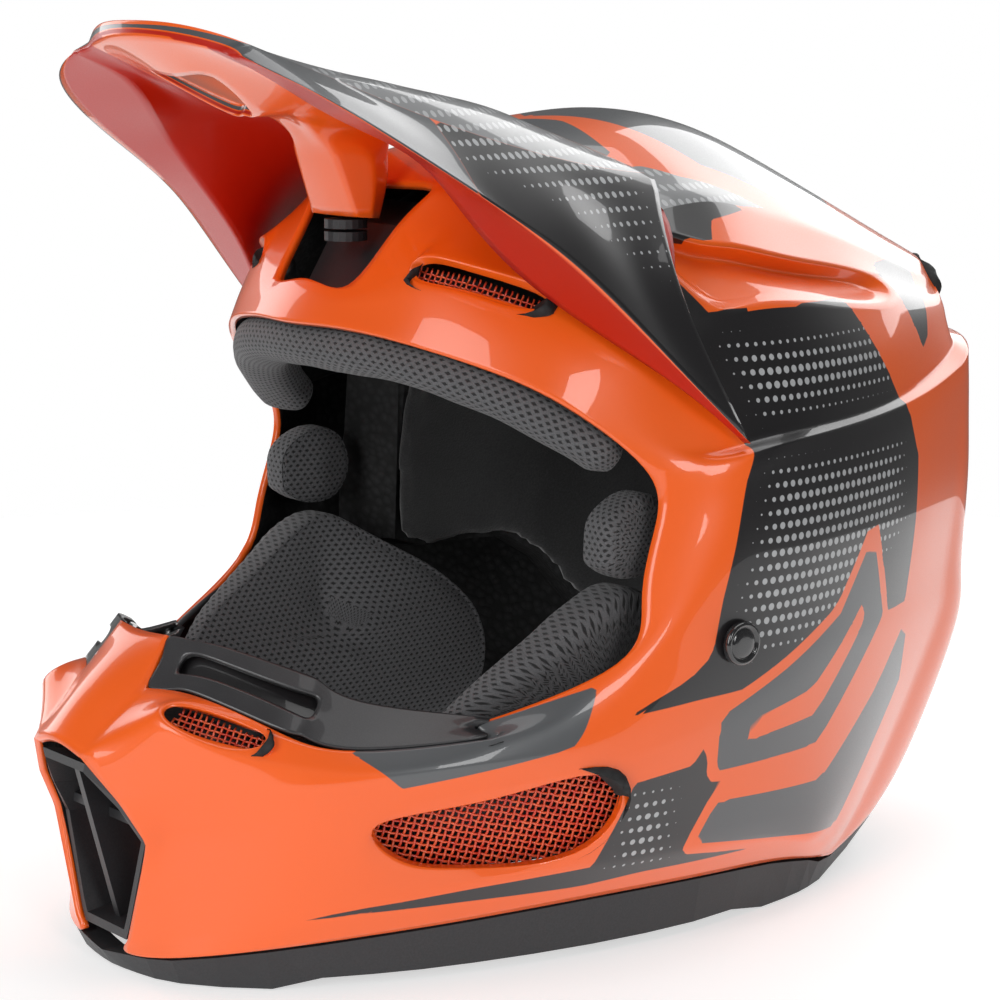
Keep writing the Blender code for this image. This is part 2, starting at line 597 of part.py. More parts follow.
def mouth_duct():
    outline = [(13, -188, 71), (22, -180.5, 58.5), (24.5, -174, 46), (14.5, -174.5, 16), (12.5, -174.5, 11.5)]
    whole = outline + [mirror(p) for p in reversed(outline)]
    middle = Vector((0, -170, 42))
    loops = []
    for back, share in ((0, 1.0), (22, 0.86), (22, 0.78), (0, 0.9)):
        loops.append([tuple(middle + Vector(((p[0]) * share, p[1] + 170 + back, (p[2] - 42) * share)))
                      for p in whole])
    frame = strip("mouth_vent_frame", loops, DARK, closed=True, smooth=False)
    fin = strip("fin_tool", [[(-1.5, -184, 68), (1.5, -184, 68), (1.5, -169, 68), (-1.5, -169, 68)],
                             [(-1.5, -170, 15), (1.5, -170, 15), (1.5, -155, 15), (-1.5, -155, 15)]], DARK)
    bar = strip("bar_tool", [[(-21, -173, 49), (-21, -173, 52), (-21, -165, 52), (-21, -165, 49)],
                             [(21, -173, 49), (21, -173, 52), (21, -165, 52), (21, -165, 49)]], DARK)
    for tool in (fin, bar):
        tool.hide_render = True
        tool.display_type = "WIRE"
        join = frame.modifiers.new(tool.name, "BOOLEAN")
        join.operation = "UNION"
        join.solver = "EXACT"
        join.object = tool
    plate = [tuple(middle + Vector((p[0] * 0.84, p[1] + 170 + 25, (p[2] - 42) * 0.84))) for p in whole]
    grille("mouth_vent_mesh", plate, 0)


def forehead_duct():
    outline = [(-17, -88, 216), (17, -88, 216), (24, -70, 236), (24, -60, 243), (-24, -60, 243), (-24, -70, 236)]
    grille("forehead_duct", outline, 8, DARK, 1.6)


# ---------------------------------------------------------------- foam and fabric inside
def blend_in(value, low, high):
    t = min(max((value - low) / (high - low), 0), 1)
    return t * t * (3 - 2 * t)


def foam_reach(turn):
    """How far down from the crown the foam runs, in degrees, at a turn from the front in degrees."""
    reach = 43 + 53 * blend_in(turn, 60, 74)
    return reach + 22 * blend_in(turn, 108, 135)


def dome(name, finish, outer, wall, rings=10, around=40):
    """A bowl over the head: outer gives its radius in millimetres in a direction."""
    centre = metres(FOAM_CENTRE)
    bm = bmesh.new()
    layers = []
    for inset in (0, wall):
        poles = outer(Vector((0, 0, 1))) - inset
        top = bm.verts.new(centre + Vector((0, 0, poles * MM)))
        loops = []
        for k in range(1, rings + 1):
            loop = []
            for a in range(around):
                turn = 360 * a / around
                side = min(turn, 360 - turn)
                polar = math.radians(foam_reach(side) * k / rings)
                azimuth = math.radians(turn)
                way = Vector((math.sin(azimuth) * math.sin(polar), -math.cos(azimuth) * math.sin(polar),
                              math.cos(polar)))
                loop.append(bm.verts.new(centre + way * (outer(way) - inset) * MM))
            loops.append(loop)
        layers.append((top, loops))
    for top, loops in layers:
        for i in range(around):
            j = (i + 1) % around
            bm.faces.new((top, loops[0][i], loops[0][j]))
            for a, b in zip(loops, loops[1:]):
                bm.faces.new((a[i], b[i], b[j], a[j]))
    rim_out, rim_in = layers[0][1][-1], layers[1][1][-1]
    for i in range(around):
        j = (i + 1) % around
        bm.faces.new((rim_out[i], rim_in[i], rim_in[j], rim_out[j]))
    return solid_from(name, bm, finish)


def foam_radius(tree):
    centre = metres(FOAM_CENTRE)

    def free(way):
        spread = []
        side = way.orthogonal().normalized()
        for k in range(7):
            lean = Matrix.Rotation(math.tau * k / 6, 3, way) @ side * (0.09 if k < 6 else 0)
            hit = tree.ray_cast(centre, (way + lean).normalized())
            if hit[0] is not None:
                spread.append(hit[3] / MM - FOAM_CLEARANCE)
        x, y, z = (way[i] / FOAM_SPAN[i] for i in range(3))
        return min(spread + [1 / math.sqrt(x * x + y * y + z * z)])
    return free


def foams(tree):
    free = foam_radius(tree)
    dome("eps_crown", FOAM, free, FOAM_WALL)
    dome("comfort_liner", FABRIC, lambda way: free(way) - FOAM_WALL - GAP, LINER_WALL)


def chin_foam(tree):
    """Foam blocks behind the chin bar, one on each side of the mouth vent."""
    for side, name in ((1, "eps_chin_left"), (-1, "eps_chin_right")):
        sections = []
        for x, y in ((34, -140), (48, -129), (60, -116), (70, -102)):
            out = Vector((x, y, 0)).normalized()
            sections.append([(side * (x + out.x * d), y + out.y * d, z)
                             for d, z in ((1, 32), (3, 48), (1, 64), (-12, 62), (-13, 36))])
        strip(name, sections, FOAM)


def head_pads():
    brow = [(0, -90, 192.5), (19, -88, 192), (37, -83, 190), (54, -75.5, 186), (70, -64, 179), (82, -51, 169.5),
            (89, -39, 160)]
    path = smooth_path([mirror(p) for p in reversed(brow[1:])] + brow, 2)
    sections = []
    for i, p in enumerate(path):
        ahead = (path[min(i + 1, len(path) - 1)] - path[max(i - 1, 0)]).normalized()
        back = Vector((-p.x * 0.8, 60, -20))
        inward = (back - ahead * back.dot(ahead)).normalized()
        up = ahead.cross(inward)
        sections.append([tuple(p + inward * 10 * math.cos(t) + up * 7 * math.sin(t))
                         for t in (math.tau * k / 10 for k in range(10))])
    strip("brow_pad", sections, FABRIC)
    for side, suffix in ((1, "_left"), (-1, "_right")):
        outline = [(-48, 128), (-38, 122.5), (-24, 124), (-18, 134), (-22, 146), (-34, 149.5), (-47, 142)]
        rounded_block("temple_pad" + suffix, outline, [side * 84] * 7, [side * 97] * 7, FABRIC)


def cheek_parts():
    outline = [(-100, 78), (-86, 91), (-66, 103), (-49, 114), (-34, 119), (-18, 111), (10, 93), (26, 74), (26, 52),
               (8, 40), (-30, 40), (-62, 43), (-84, 57), (-98, 67)]
    low = [68, 72, 74, 76, 76, 70, 60, 60, 60, 60, 60, 62, 64, 66]
    high = [77, 84, 91, 96, 98, 97, 93, 92, 88, 84, 84, 82, 76, 75]
    for side, suffix in ((1, "_left"), (-1, "_right")):
        rounded_block("cheek_pad" + suffix, outline, [side * x for x in low], [side * x for x in high], FABRIC)
        plate = [(0, 84), (22, 80), (22, 54), (0, 52)]
        strip("cheek_plate" + suffix, [[(side * x, y, z) for y, z in plate] for x in (97.6, 99.6)], DARK)
        for number, z in enumerate((60, 75), 1):
            disc("cheek_snap%s_%d" % (suffix, number), (side * 93.6, 10, z), (side, 0, 0), 4.5, 3.6, DARK, 14)


def neck_roll():
    """The padded roll round the back of the neck opening."""
    route = [(56, 38, 20), (56, 60, 16), (51, 84, 10.5), (45, 107, 7.2), (27, 123, 7.2), (0, 130, 7.6)]
    path = smooth_path(route + [mirror(p) for p in reversed(route[:-1])], 2)
    sections = []
    for i, p in enumerate(path):
        ahead = (path[min(i + 1, len(path) - 1)] - path[max(i - 1, 0)]).normalized()
        inward = Vector((0, 0, 1)).cross(ahead).normalized()
        sections.append([tuple(p + inward * 8 * math.cos(t) + Vector((0, 0, 6.5 * math.sin(t))))
                         for t in (math.tau * k / 8 for k in range(8))])
    strip("neck_roll", sections, FABRIC)


# ---------------------------------------------------------------- strap and fasteners
def d_ring(name, bar, reach, lift):
    """A D of round wire: the straight bar across the strap, and the bow reaching out from it."""
    half = STRAP_WIDTH / 2 + 2.5
    x, y, z = bar
    corners = [(x, y - half, z), (x, y + half, z)]
    bow = [(x - reach * math.sin(t), y + half * math.cos(t), z + lift * math.sin(t))
           for t in (math.pi * k / 8 for k in range(1, 8))]
    path = [Vector(p) for p in [mix(corners[0], corners[1], s) for s in (0.02, 0.35, 0.65, 0.98)] + bow]
    middle = sum(path, Vector()) / len(path)
    plane = (path[1] - path[0]).cross(path[6] - path[0]).normalized()
    sections = []
    for i, p in enumerate(path):
        ahead = (path[(i + 1) % len(path)] - path[i - 1]).normalized()
        out = ahead.cross(plane).normalized()
        if out.dot(p - middle) < 0:
            out = -out
        sections.append([tuple(p + (out * math.cos(t) + plane * math.sin(t)) * RING_WIRE)
                         for t in (math.tau * k / 8 for k in range(8))])
    strip(name, sections, STEEL, closed=True)


def straps():
    x, y, z = RING_BAR
    hang = [ANCHOR_INSIDE, (104, -15, 80), (101.5, -18, 58), (97, -22, 42), (91, -27, 33), (82, -32, 28),
            (68, -38, 21), (50, -43, 13.5)]
    webbing("strap_left", hang + [(38, -45, 10.5), (28, -46, 9.5), (23.5, y, z)], DARK)
    right = [mirror(p) for p in hang] + [(-34, -45, 9), (-14, -46, 6.5), (0, -46, 5.5), (8, -46, 5.5)]
    webbing("strap_right", right, DARK)
    webbing("strap_tail", [(8.5, -46, 3.2), (0, -46, 3.0), (-14, -46, 3.6), (-26, -45.5, 5.0)], DARK)
    d_ring("d_ring_inner", (x + 0.6, y, z), 17, 0.0)
    d_ring("d_ring_outer", (x + 0.6, y, z + 4.2), 15, 1.0)
    for side, suffix in ((1, "_left"), (-1, "_right")):
        disc("strap_anchor_cap" + suffix, (side * ANCHOR[0], ANCHOR[1], ANCHOR[2]), (side, 0, 0), CAP_RADIUS, 2.4,
             DARK, 28, 1.2)
        disc("strap_anchor_washer" + suffix, (side * 108.2, ANCHOR_INSIDE[1], ANCHOR_INSIDE[2]), (side, 0, 0), 9, 2,
             STEEL, 20)
    disc("strap_snap_stud", (-20, -46, 1.2), (0, 0, 1), 4.5, 0.9, STEEL, 14)


def magnets():
    disc("visor_magnet_center", (0, -78.5, 229.6), (0, 0, 1), MAGNET_RADIUS, 3, STEEL)
    disc("shell_magnet_center", (0, -78.5, 225.6), (0, 0, 1), MAGNET_RADIUS, 3, STEEL)


# ---------------------------------------------------------------- build
def clear_scene():
    for obj in list(bpy.data.objects):
        bpy.data.objects.remove(obj, do_unlink=True)


def build():
    clear_scene()
    bpy.context.scene.unit_settings.system = "METRIC"
    shell = shell_cage().object("outer_shell", ORANGE, 0)
    tree = surface_tree(shell)
    thicken = shell.modifiers.new("Wall", "SOLIDIFY")
    thicken.thickness = SHELL_WALL * MM
    thicken.offset = -1
    thicken.use_quality_normals = True
    visor()
    nose_guard()
    base_trim()
    both(grille, "chin_mesh", [(37.5, -169.5, 86), (53.5, -154.5, 79.5), (56, -150, 82), (37.5, -163, 89.5)], 5.5)
    both(grille, "side_mesh", [(80, -114, 43.5), (86, -96, 40), (99.5, -62, 42.5), (107.5, -59, 64), (94, -92, 59.5),
                               (79.5, -121, 53.5)], 9)
    both(grille, "brow_mesh", [(46, -81, 217), (59, -73.5, 214), (74, -61, 208.5), (74.5, -58.5, 211.5),
                               (58, -71, 218), (46.5, -78.5, 220.5)], 6)
    mouth_duct()
    forehead_duct()
    foams(tree)
    chin_foam(tree)
    head_pads()
    cheek_parts()
    neck_roll()
    straps()
    magnets()


build()
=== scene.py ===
"""Looks for the off-road helmet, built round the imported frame: painted shell and peak, woven grilles,
soft lining.

The tables of points are in millimetres for the wearer's left half, as in the part's source. The wearer
faces -Y and +X is the wearer's left. The right half is the mirror image. metres() turns the points into
positions in the row frame.
"""

import math

import bmesh
import bpy
import numpy as np
from mathutils import Matrix, Vector, noise


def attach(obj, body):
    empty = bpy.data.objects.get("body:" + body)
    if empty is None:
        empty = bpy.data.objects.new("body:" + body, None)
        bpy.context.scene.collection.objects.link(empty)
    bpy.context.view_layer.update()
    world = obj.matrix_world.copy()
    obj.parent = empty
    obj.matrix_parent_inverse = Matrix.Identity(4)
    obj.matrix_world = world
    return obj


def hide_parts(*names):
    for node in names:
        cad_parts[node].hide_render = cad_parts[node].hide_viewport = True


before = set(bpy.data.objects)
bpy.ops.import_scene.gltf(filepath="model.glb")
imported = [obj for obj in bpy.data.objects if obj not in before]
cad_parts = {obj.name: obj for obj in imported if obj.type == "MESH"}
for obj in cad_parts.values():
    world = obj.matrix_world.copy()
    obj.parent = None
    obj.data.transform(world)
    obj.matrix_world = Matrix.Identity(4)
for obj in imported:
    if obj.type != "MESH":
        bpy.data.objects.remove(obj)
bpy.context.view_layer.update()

MM = 0.001
SHIFT_Y = 10.735
GUARD_SEAT = 5.0
ROOT_OF_GUARD = (0.45, -104.0, 62.0)
ON_CENTRE = 1e-6
FINE = 3
SHELL_WALL = 2.6

# ---------------------------------------------------------------- the cages' points (mm)
BASE_EDGE = [None, (14, -175.5, 8), (31, -170, 9.5), (54, -150, 14), (70, -122, 17), (82, -90, 19),
    (92, -48, 20.5), (96, -6, 20), (92, 30, 17), (88, 52, 13), (82, 68, 10), (66, 109, 20), (38, 131, 28),
    (0, 138, 31)]
LOW_CREASE = [None, (16, -176, 13), (33, -168, 17), (57, -149, 24), (74, -125, 29), (87, -95, 33),
    (102, -52, 36), (107, -12, 35), (106, 24, 32), (97, 56, 30), (81, 88, 33), (66, 124, 38),
    (37, 145, 44), (0, 151, 46)]
CHIN_CREASE = [None, (28, -176, 46), (35, -168, 50), (60, -150, 55), (78, -129.5, 60), (97, -94, 65),
    (112, -53, 70), (118.5, -16, 79), (117, 24, 84), (101, 74, 84), (79, 119, 80), (67, 144, 77),
    (37, 157, 76), (0, 161, 76)]
CHIN_FACET = [None, (24.5, -183, 60), (38, -171, 63), (58, -155, 67), (77.5, -133, 69), (98, -96, 72),
    (112, -54, 78), (120, -17, 94), (119.5, 22, 99), (103, 75, 99), (79.5, 124, 98), (67.5, 146, 98),
    (37, 160, 98), (0, 164, 98)]
BEAK_LINE = [(0, -192, 77), (14, -190.5, 74), (33, -176, 86), (52, -161, 78), (76.5, -132, 73.5),
    (97, -97, 76), (111, -55, 85), (120.5, -17, 108), (120.5, 21, 114), (104.5, 76, 117),
    (79.5, 127, 117), (67.5, 147, 118), (37, 162, 118), (0, 166, 118)]
TRIM_EDGE = [(0, -178, 93), (18, -169, 93), (34, -160, 92), (57, -147, 84), (74, -129, 78),
    (95, -95, 80.5), (109.5, -55, 92.5), (121, -17, 121), (121.5, 21, 128), (105, 77, 133),
    (80, 129, 136), (67.5, 148, 137), (37, 163, 138), (0, 167, 138)]
PORT_BOTTOM = [(0, -159, 107), (14, -158, 107.5), (32, -148, 105.5), (50, -133.5, 99), (67, -119, 90),
    (90, -90, 85), (107, -53, 100), (121, -17, 133), (121.5, 21, 141), (104.5, 78, 147), (79.5, 130, 152),
    (67, 148, 154), (37, 163, 155), (0, 167, 155)]
PORT_SIDE_LOW = [None] * 6 + [(107.5, -44, 120), (120.8, -15, 144), (120.5, 22, 151), (104, 78, 156),
    (79, 131, 163), (66.5, 148, 167), (37, 163.5, 169), (0, 168, 169)]
PORT_SIDE_HIGH = [None] * 6 + [(106.5, -38, 140), (120.6, -12, 155), (119, 24, 160), (103, 79, 163.5),
    (78.5, 132, 171), (66, 148, 175), (36, 164, 177), (0, 169, 178)]
PORT_TOP = [(0, -103, 201), (18, -100.5, 201), (36, -95.5, 199.5), (54, -88.5, 196), (77, -74, 188.5),
    (94, -58, 177), (105, -38.5, 157.5), (120.5, -9, 163.5), (117, 27, 166.5), (101, 81, 169.5),
    (78, 132, 176), (66, 148, 180.5), (36, 165, 184), (0, 170, 185)]
BROW_LIP = [(0, -99, 208), (19, -96.5, 207.5), (38, -91, 206.5), (56, -83.5, 204), (78, -68, 197.5),
    (95, -51, 186), (107, -32, 167), (115.5, -5, 166.5), (114, 28, 169), (98.5, 80, 171.5),
    (74, 129, 178.5), (61, 143, 184), (33, 157, 188), (0, 161, 189)]
BROW_HOOD = [(0, -94.5, 214.5), (20, -92, 213), (39, -86, 215.5), (57, -78, 212.5), (78, -61, 206),
    (96, -42, 195), (105, -25, 184), (110.5, 0, 187), (109.5, 30, 188), (96, 78, 186.5), (69, 130, 188),
    (56, 145, 191.5), (30, 158, 195), (0, 162, 196)]
SCOOP_SILL = [(0, -77, 234), (26, -76, 233), (44, -70, 231.5), (60, -59, 226), (79, -44, 219),
    (93, -29, 213), (102.5, -12, 208.5), (104, 8, 208), (100, 40, 206), (87, 84, 202), (61, 136, 196),
    (49, 149, 199), (27, 158, 202), (0, 162, 203)]
SCOOP_LIP = [(0, -66, 244), (30, -66, 244), (44, -58, 239.5), (59, -50, 234), (74, -38, 231),
    (84, -23, 230), (89, -8, 227), (91, 10, 224.5), (87, 42, 218), (77, 86, 210), (54, 141, 199),
    (43, 151, 203.5), (23, 158, 208), (0, 161, 209)]
RIDGE = [(0, -52, 252), (21, -51, 251.5), (42, -48, 247.5), (57, -42, 242), (67, -30, 241),
    (71.5, -12, 241.5), (73.5, 6, 240.5), (73.5, 24, 237.5), (71, 50, 230.5), (64, 92, 219.5),
    (47, 147, 203), (38, 153, 208), (20, 159, 212.5), (0, 161, 214)]
# The crown inside the ridge: at columns 4 to 9, two points between the ridge and the centre line, and
# the centre.
CROWN = [[(46, -29, 249), (23, -31, 256), (0, -32, 258)],
         [(48, -12, 251.5), (24, -13, 260), (0, -14, 262)],
         [(50, 7, 252.5), (25, 7, 262), (0, 7, 265)],
         [(50, 26, 250.5), (25, 27, 262), (0, 27, 266)],
         [(48, 54, 244.5), (24, 56, 257), (0, 57, 261)],
         [(43, 95, 230), (21, 99, 240.5), (0, 101, 243.5)]]
SHELL_ROWS = [BASE_EDGE, LOW_CREASE, CHIN_CREASE, CHIN_FACET, BEAK_LINE, TRIM_EDGE, PORT_BOTTOM,
              PORT_SIDE_LOW, PORT_SIDE_HIGH, PORT_TOP, BROW_LIP, BROW_HOOD, SCOOP_SILL, SCOOP_LIP, RIDGE]

# ---------------------------------------------------------------- the visor's cage
# Stations from the front lip back. Each goes from the centre line out over the top to the crease and
# down the flank to the rim, then back in underneath: ridge, wall, channel edge, hole edge and centre
# line.
VISOR = [
    [(0, -158, 296.5), (20, -155.5, 295.7), (36, -150, 292.8), (46, -145.5, 289.5), (50, -147, 287.3),
     (53, -149, 284.8), (45, -149.5, 285), (40, -150.5, 287), (33, -152, 288.5), (19, -156, 290.5),
     (0, -158.5, 291.5)],
    [(0, -146, 284.5), (18, -143, 285), (40, -140, 288), (56, -136.3, 284.2), (64, -139.5, 281),
     (72, -142, 277), (43, -133, 277.5), (41, -134, 280), (34, -136, 281.5), (16, -139, 279.5),
     (0, -142, 279)],
    [(0, -116, 271), (9, -117.5, 271.5), (46, -120, 282), (64, -122, 277), (75, -124, 271.5),
     (85, -125, 264.5),
     (52, -119, 267.5), (49, -118, 271), (40, -117, 275.5), (8, -119, 267.5), (0, -118, 267)],
    [(0, -102, 269), (15, -102, 270), (49, -104, 279), (69, -107, 270), (81, -107, 261.5),
     (91, -105, 251.5),
     (66, -105, 258), (58, -103, 265), (42, -101, 272), (12, -101, 266), (0, -101, 265.5)],
    [(0, -84, 268.5), (17, -83, 269.5), (50, -84, 275), (74, -84, 261.5), (87, -86, 250), (97, -85, 238),
     (72, -91, 244), (64, -86, 256), (46, -82, 268), (16, -81, 265), (0, -82, 264.5)],
    [(0, -70, 268.5), (19, -67, 269), (48, -63, 271), (77, -56, 253.5), (95, -60, 238), (107, -64, 220),
     (79, -66, 216.5), (73, -61, 238), (53, -58, 259), (18, -65, 265), (0, -68, 264.5)],
    [(0, -60, 268.5), (20, -54, 268.5), (46, -47, 266.5), (79, -32, 248.5), (101, -41, 221),
     (116, -36, 191),
     (109, -36, 188), (96, -38, 217), (73, -33, 244), (20, -52.5, 264.5), (0, -58, 264.5)],
    [(0, -56, 268), (21, -49, 267.5), (47, -34, 261.5), (77, -13, 246.5), (106, -27, 213.5),
     (120, -10, 166.5),
     (117, -10.5, 166.5), (102.5, -26, 213), (74.5, -15, 243.5), (21, -48, 264), (0, -54.5, 264.5)]]
VISOR_STRUT = [[(0, -92, 256), (11, -91, 255.5), (15.5, -79, 254), (12, -70, 253), (0, -70, 253)],
               [(0, -84, 234), (12.5, -83, 234), (14, -78, 233.5), (11, -73, 233), (0, -73, 233)]]
STRUT_FOOT = (0, -78.5, 233)

# ---------------------------------------------------------------- the painted graphics (mm)
# Outlines in Y and Z on the sides, and in X and Y on the crown.
SIDE_BLACK = [(-53, 84), (-28, 87), (-13, 88), (6, 92), (33, 98), (60, 100), (82, 101), (85, 129),
    (86, 151), (78, 171), (54, 206), (-7, 207), (-13, 206), (-28, 229), (-1, 225), (7, 233), (29, 235),
    (-20, 252), (-60, 256), (-60, 226), (-31, 195), (-8, 166), (-12, 155), (-17, 134), (-21, 118),
    (-24, 101), (-32, 94)]
REAR_WEDGE = [(94, 213), (115, 213), (131, 207), (108, 181)]
LOWER_PANEL = [(-49, 62), (-26, 65), (-25, 71), (-20, 66), (-12, 60), (10, 45), (31, 29), (5, 28),
    (-36, 28), (-57, 33)]
CHIN_WEDGE = [(-149, 23.5), (-125, 27.5), (-95, 30.5), (-57, 33.5), (-36, 28), (-57, 26), (-95, 26),
    (-125, 25.5)]
JAW_PANEL = [(-131, 78), (-95, 83), (-60, 94), (-67, 80), (-71, 76), (-120, 67)]
UPPER_BLADE = [(52, 130), (64, 100), (30, 62), (-17, 61), (-20, 80), (6, 92), (34, 106)]
LOWER_BLADE = [(86, 96), (90, 70), (54, 26), (-20, 36), (-14, 50), (36, 48), (68, 74)]
BLADE_SLASH = [(-6, 70), (26, 73), (50, 101), (49, 108), (22, 83), (-6, 77)]
BLADE_BORDER = 4.0
CROWN_BLACK = [(0, -4), (26, 12), (53, 29), (56, 53), (60, 70), (30, 112), (0, 128)]
CROWN_PATCH = [(0, -10), (8, -6), (17, -2), (47, -5), (52, -32), (0, -34)]
RIDGE_BAND = [(56, -1), (63, 10), (69, 43), (74, 28), (76, 7), (80, -34), (55, -34)]
BACK_BLACK = [(0, 184), (30, 180), (20, 120), (40, 72), (30, 44), (0, 44)]
SIDE_DOTS = [[(-14, 200), (79, 197), (82, 175), (-2, 170)],
             [(-4, 162), (74, 160), (78, 128), (22, 100), (-14, 96), (-15, 120)],
             [(-52, 60), (-32, 60), (-28, 30), (-52, 30)]]
SCOOP_INSIDE = [(-12, 208), (88, 206), (84, 212), (42, 219), (-8, 228)]
# How far out, back or up each painted area starts.
PANELS_OUT = 40
DOTS_OUT = 60
SIDE_OUT = 66
SCOOP_OUT = 70
BLACK_OUT = 71.5
BACK_FROM = 90
CROWN_UP = 200
DOT_FADE = 11
LEDGE_SHADE_SHARE = 0.35
LEDGE_SHADE_SLOPE = 12

# ---------------------------------------------------------------- colours (linear)
ORANGE = (0.93, 0.125, 0.004)
# painted shade: the orange as it looks in shade, used on the peak's underside
SHADE_RED = (0.5, 0.012, 0.002)
BLACK = (0.009, 0.008, 0.009)
GREY = (0.075, 0.08, 0.085)
PALE = (0.42, 0.43, 0.44)
CHARCOAL = (0.03, 0.03, 0.032)
SOFT_BLACK = (0.008, 0.008, 0.0085)


# ---------------------------------------------------------------- tools
def metres(point):
    """A point of the tables, in millimetres, as a position in the row frame."""
    return Vector((point[0] * MM, (point[1] + SHIFT_Y) * MM, point[2] * MM))


def mix(a, b, share):
    """The point that lies a share of the way from a to b."""
    return tuple(p + (q - p) * share for p, q in zip(a, b))


def mirror(point):
    return (-point[0],) + tuple(point[1:])


def sunk(point, depth):
    """The point moved level towards the middle of the head by a depth."""
    inward = Vector((-point[0], -0.7 * point[1], 0)).normalized()
    return tuple(Vector(point) + inward * depth)


def link(name, mesh, *materials):
    obj = bpy.data.objects.new(name, mesh)
    bpy.context.scene.collection.objects.link(obj)
    for material in materials:
        mesh.materials.append(material)
    return obj


def applied(obj):
    """The object with its modifiers made permanent."""
    bpy.context.view_layer.update()
    seen = obj.evaluated_get(bpy.context.evaluated_depsgraph_get())
    mesh = bpy.data.meshes.new_from_object(seen)
    obj.modifiers.clear()
    old = obj.data
    obj.data = mesh
    bpy.data.meshes.remove(old)
    return obj


def evaluated_points(obj):
    bpy.context.view_layer.update()
    seen = obj.evaluated_get(bpy.context.evaluated_depsgraph_get())
    mesh = seen.to_mesh()
    co = np.empty(len(mesh.vertices) * 3)
    mesh.vertices.foreach_get("co", co)
    seen.to_mesh_clear()
    return co.reshape(-1, 3)


def settle(obj, rounds=4):
    """Moves a control mesh until its subdivided surface passes through the places where its points
    were put."""
    count = len(obj.data.vertices)
    goal = np.empty(count * 3)
    obj.data.vertices.foreach_get("co", goal)
    goal = goal.reshape(-1, 3)
    control = goal.copy()
    for _ in range(rounds):
        control = control + (goal - evaluated_points(obj)[:count])
        obj.data.vertices.foreach_set("co", control.ravel())
        obj.data.update()


def subdivided(obj, level):
    modifier = obj.modifiers.new("Subdivision", "SUBSURF")
    modifier.levels = modifier.render_levels = level
    return modifier


class Cage:
    """The left half of a symmetrical control mesh, with creases, whose limit surface passes its points."""

    def __init__(self):
        self.points = []
        self.faces = []
        self.creases = {}
        self.column = {}

    def add(self, point, column=0.0):
        self.points.append(tuple(point))
        self.column[len(self.points) - 1] = column
        return len(self.points) - 1

    def crease(self, line, weight=1.0):
        for a, b in zip(line, line[1:]):
            self.creases[frozenset((a, b))] = weight

    def ring(self, outer, inner_points, weight=0.0):
        """A band of faces from an outer loop of indices, counterclockwise from outside, to new inner
        points."""
        inner = [self.add(p) for p in inner_points]
        count = len(outer)
        for i in range(count):
            j = (i + 1) % count
            self.faces.append([outer[i], outer[j], inner[j], inner[i]])
        if weight:
            self.crease(inner + inner[:1], weight)
        return inner

    def object(self, name, wall, level, *materials):
        """The whole piece: its wall goes inwards, and its inner side takes the second material."""
        points = list(self.points)
        columns = [self.column[i] for i in range(len(points))]
        twin = {}
        for i, p in enumerate(self.points):
            if abs(p[0]) < ON_CENTRE:
                twin[i] = i
            else:
                twin[i] = len(points)
                points.append(mirror(p))
                columns.append(columns[i])
        faces = self.faces + [[twin[i] for i in reversed(f)] for f in self.faces]
        used = sorted({i for f in faces for i in f})
        rank = {i: n for n, i in enumerate(used)}
        mesh = bpy.data.meshes.new(name)
        mesh.from_pydata([metres(points[i]) for i in used], [], [[rank[i] for i in f] for f in faces])
        obj = link(name, mesh, *materials)
        weights = {}
        for pair, weight in self.creases.items():
            a, b = tuple(pair)
            weights[frozenset((rank[a], rank[b]))] = weight
            weights[frozenset((rank[twin[a]], rank[twin[b]]))] = weight
        layer = mesh.attributes.new("crease_edge", "FLOAT", "EDGE")
        for edge in mesh.edges:
            layer.data[edge.index].value = weights.get(frozenset(edge.vertices), 0.0)
        column = mesh.attributes.new("column", "FLOAT", "POINT")
        column.data.foreach_set("value", [float(columns[i]) for i in used])
        outward(mesh)
        modifier = subdivided(obj, 1)
        settle(obj)
        modifier.levels = modifier.render_levels = level
        if wall:
            thicken = obj.modifiers.new("Wall", "SOLIDIFY")
            thicken.thickness = wall * MM
            thicken.offset = -1
            thicken.use_quality_normals = True
            thicken.material_offset = len(materials) - 1
        applied(obj)
        obj.data.shade_smooth()
        return obj


def outward(mesh):
    bm = bmesh.new()
    bm.from_mesh(mesh)
    bmesh.ops.recalc_face_normals(bm, faces=bm.faces)
    bm.to_mesh(mesh)
    bm.free()


def in_mm(mesh):
    """The mesh's points as columns |x|, y and z, in the tables' millimetres."""
    co = np.empty(len(mesh.vertices) * 3)
    mesh.vertices.foreach_get("co", co)
    co = co.reshape(-1, 3) / MM
    return np.abs(co[:, 0]), co[:, 1] - SHIFT_Y, co[:, 2]


def within(u, v, outline):
    """How far each place lies inside an outline, in millimetres; outside it is negative."""
    p = np.stack([u, v], 1)
    nearest = np.full(len(u), 1e6)
    inside = np.zeros(len(u), bool)
    for a, b in zip(outline, outline[1:] + outline[:1]):
        a, b = np.array(a, float), np.array(b, float)
        d = b - a
        share = np.clip(((p - a) @ d) / (d @ d), 0, 1)
        nearest = np.minimum(nearest, np.hypot(*(p - a - share[:, None] * d).T))
        if abs(d[1]) > 0:
            crosses = (a[1] > p[:, 1]) != (b[1] > p[:, 1])
            inside ^= crosses & (p[:, 0] < d[0] * (p[:, 1] - a[1]) / d[1] + a[0])
    return np.where(inside, nearest, -nearest)


def store(mesh, **fields):
    """Writes each field to the mesh's points, for the shader to read."""
    for name, values in fields.items():
        layer = mesh.attributes.new(name, "FLOAT", "POINT")
        layer.data.foreach_set("value", np.ascontiguousarray(values, dtype=np.float32))


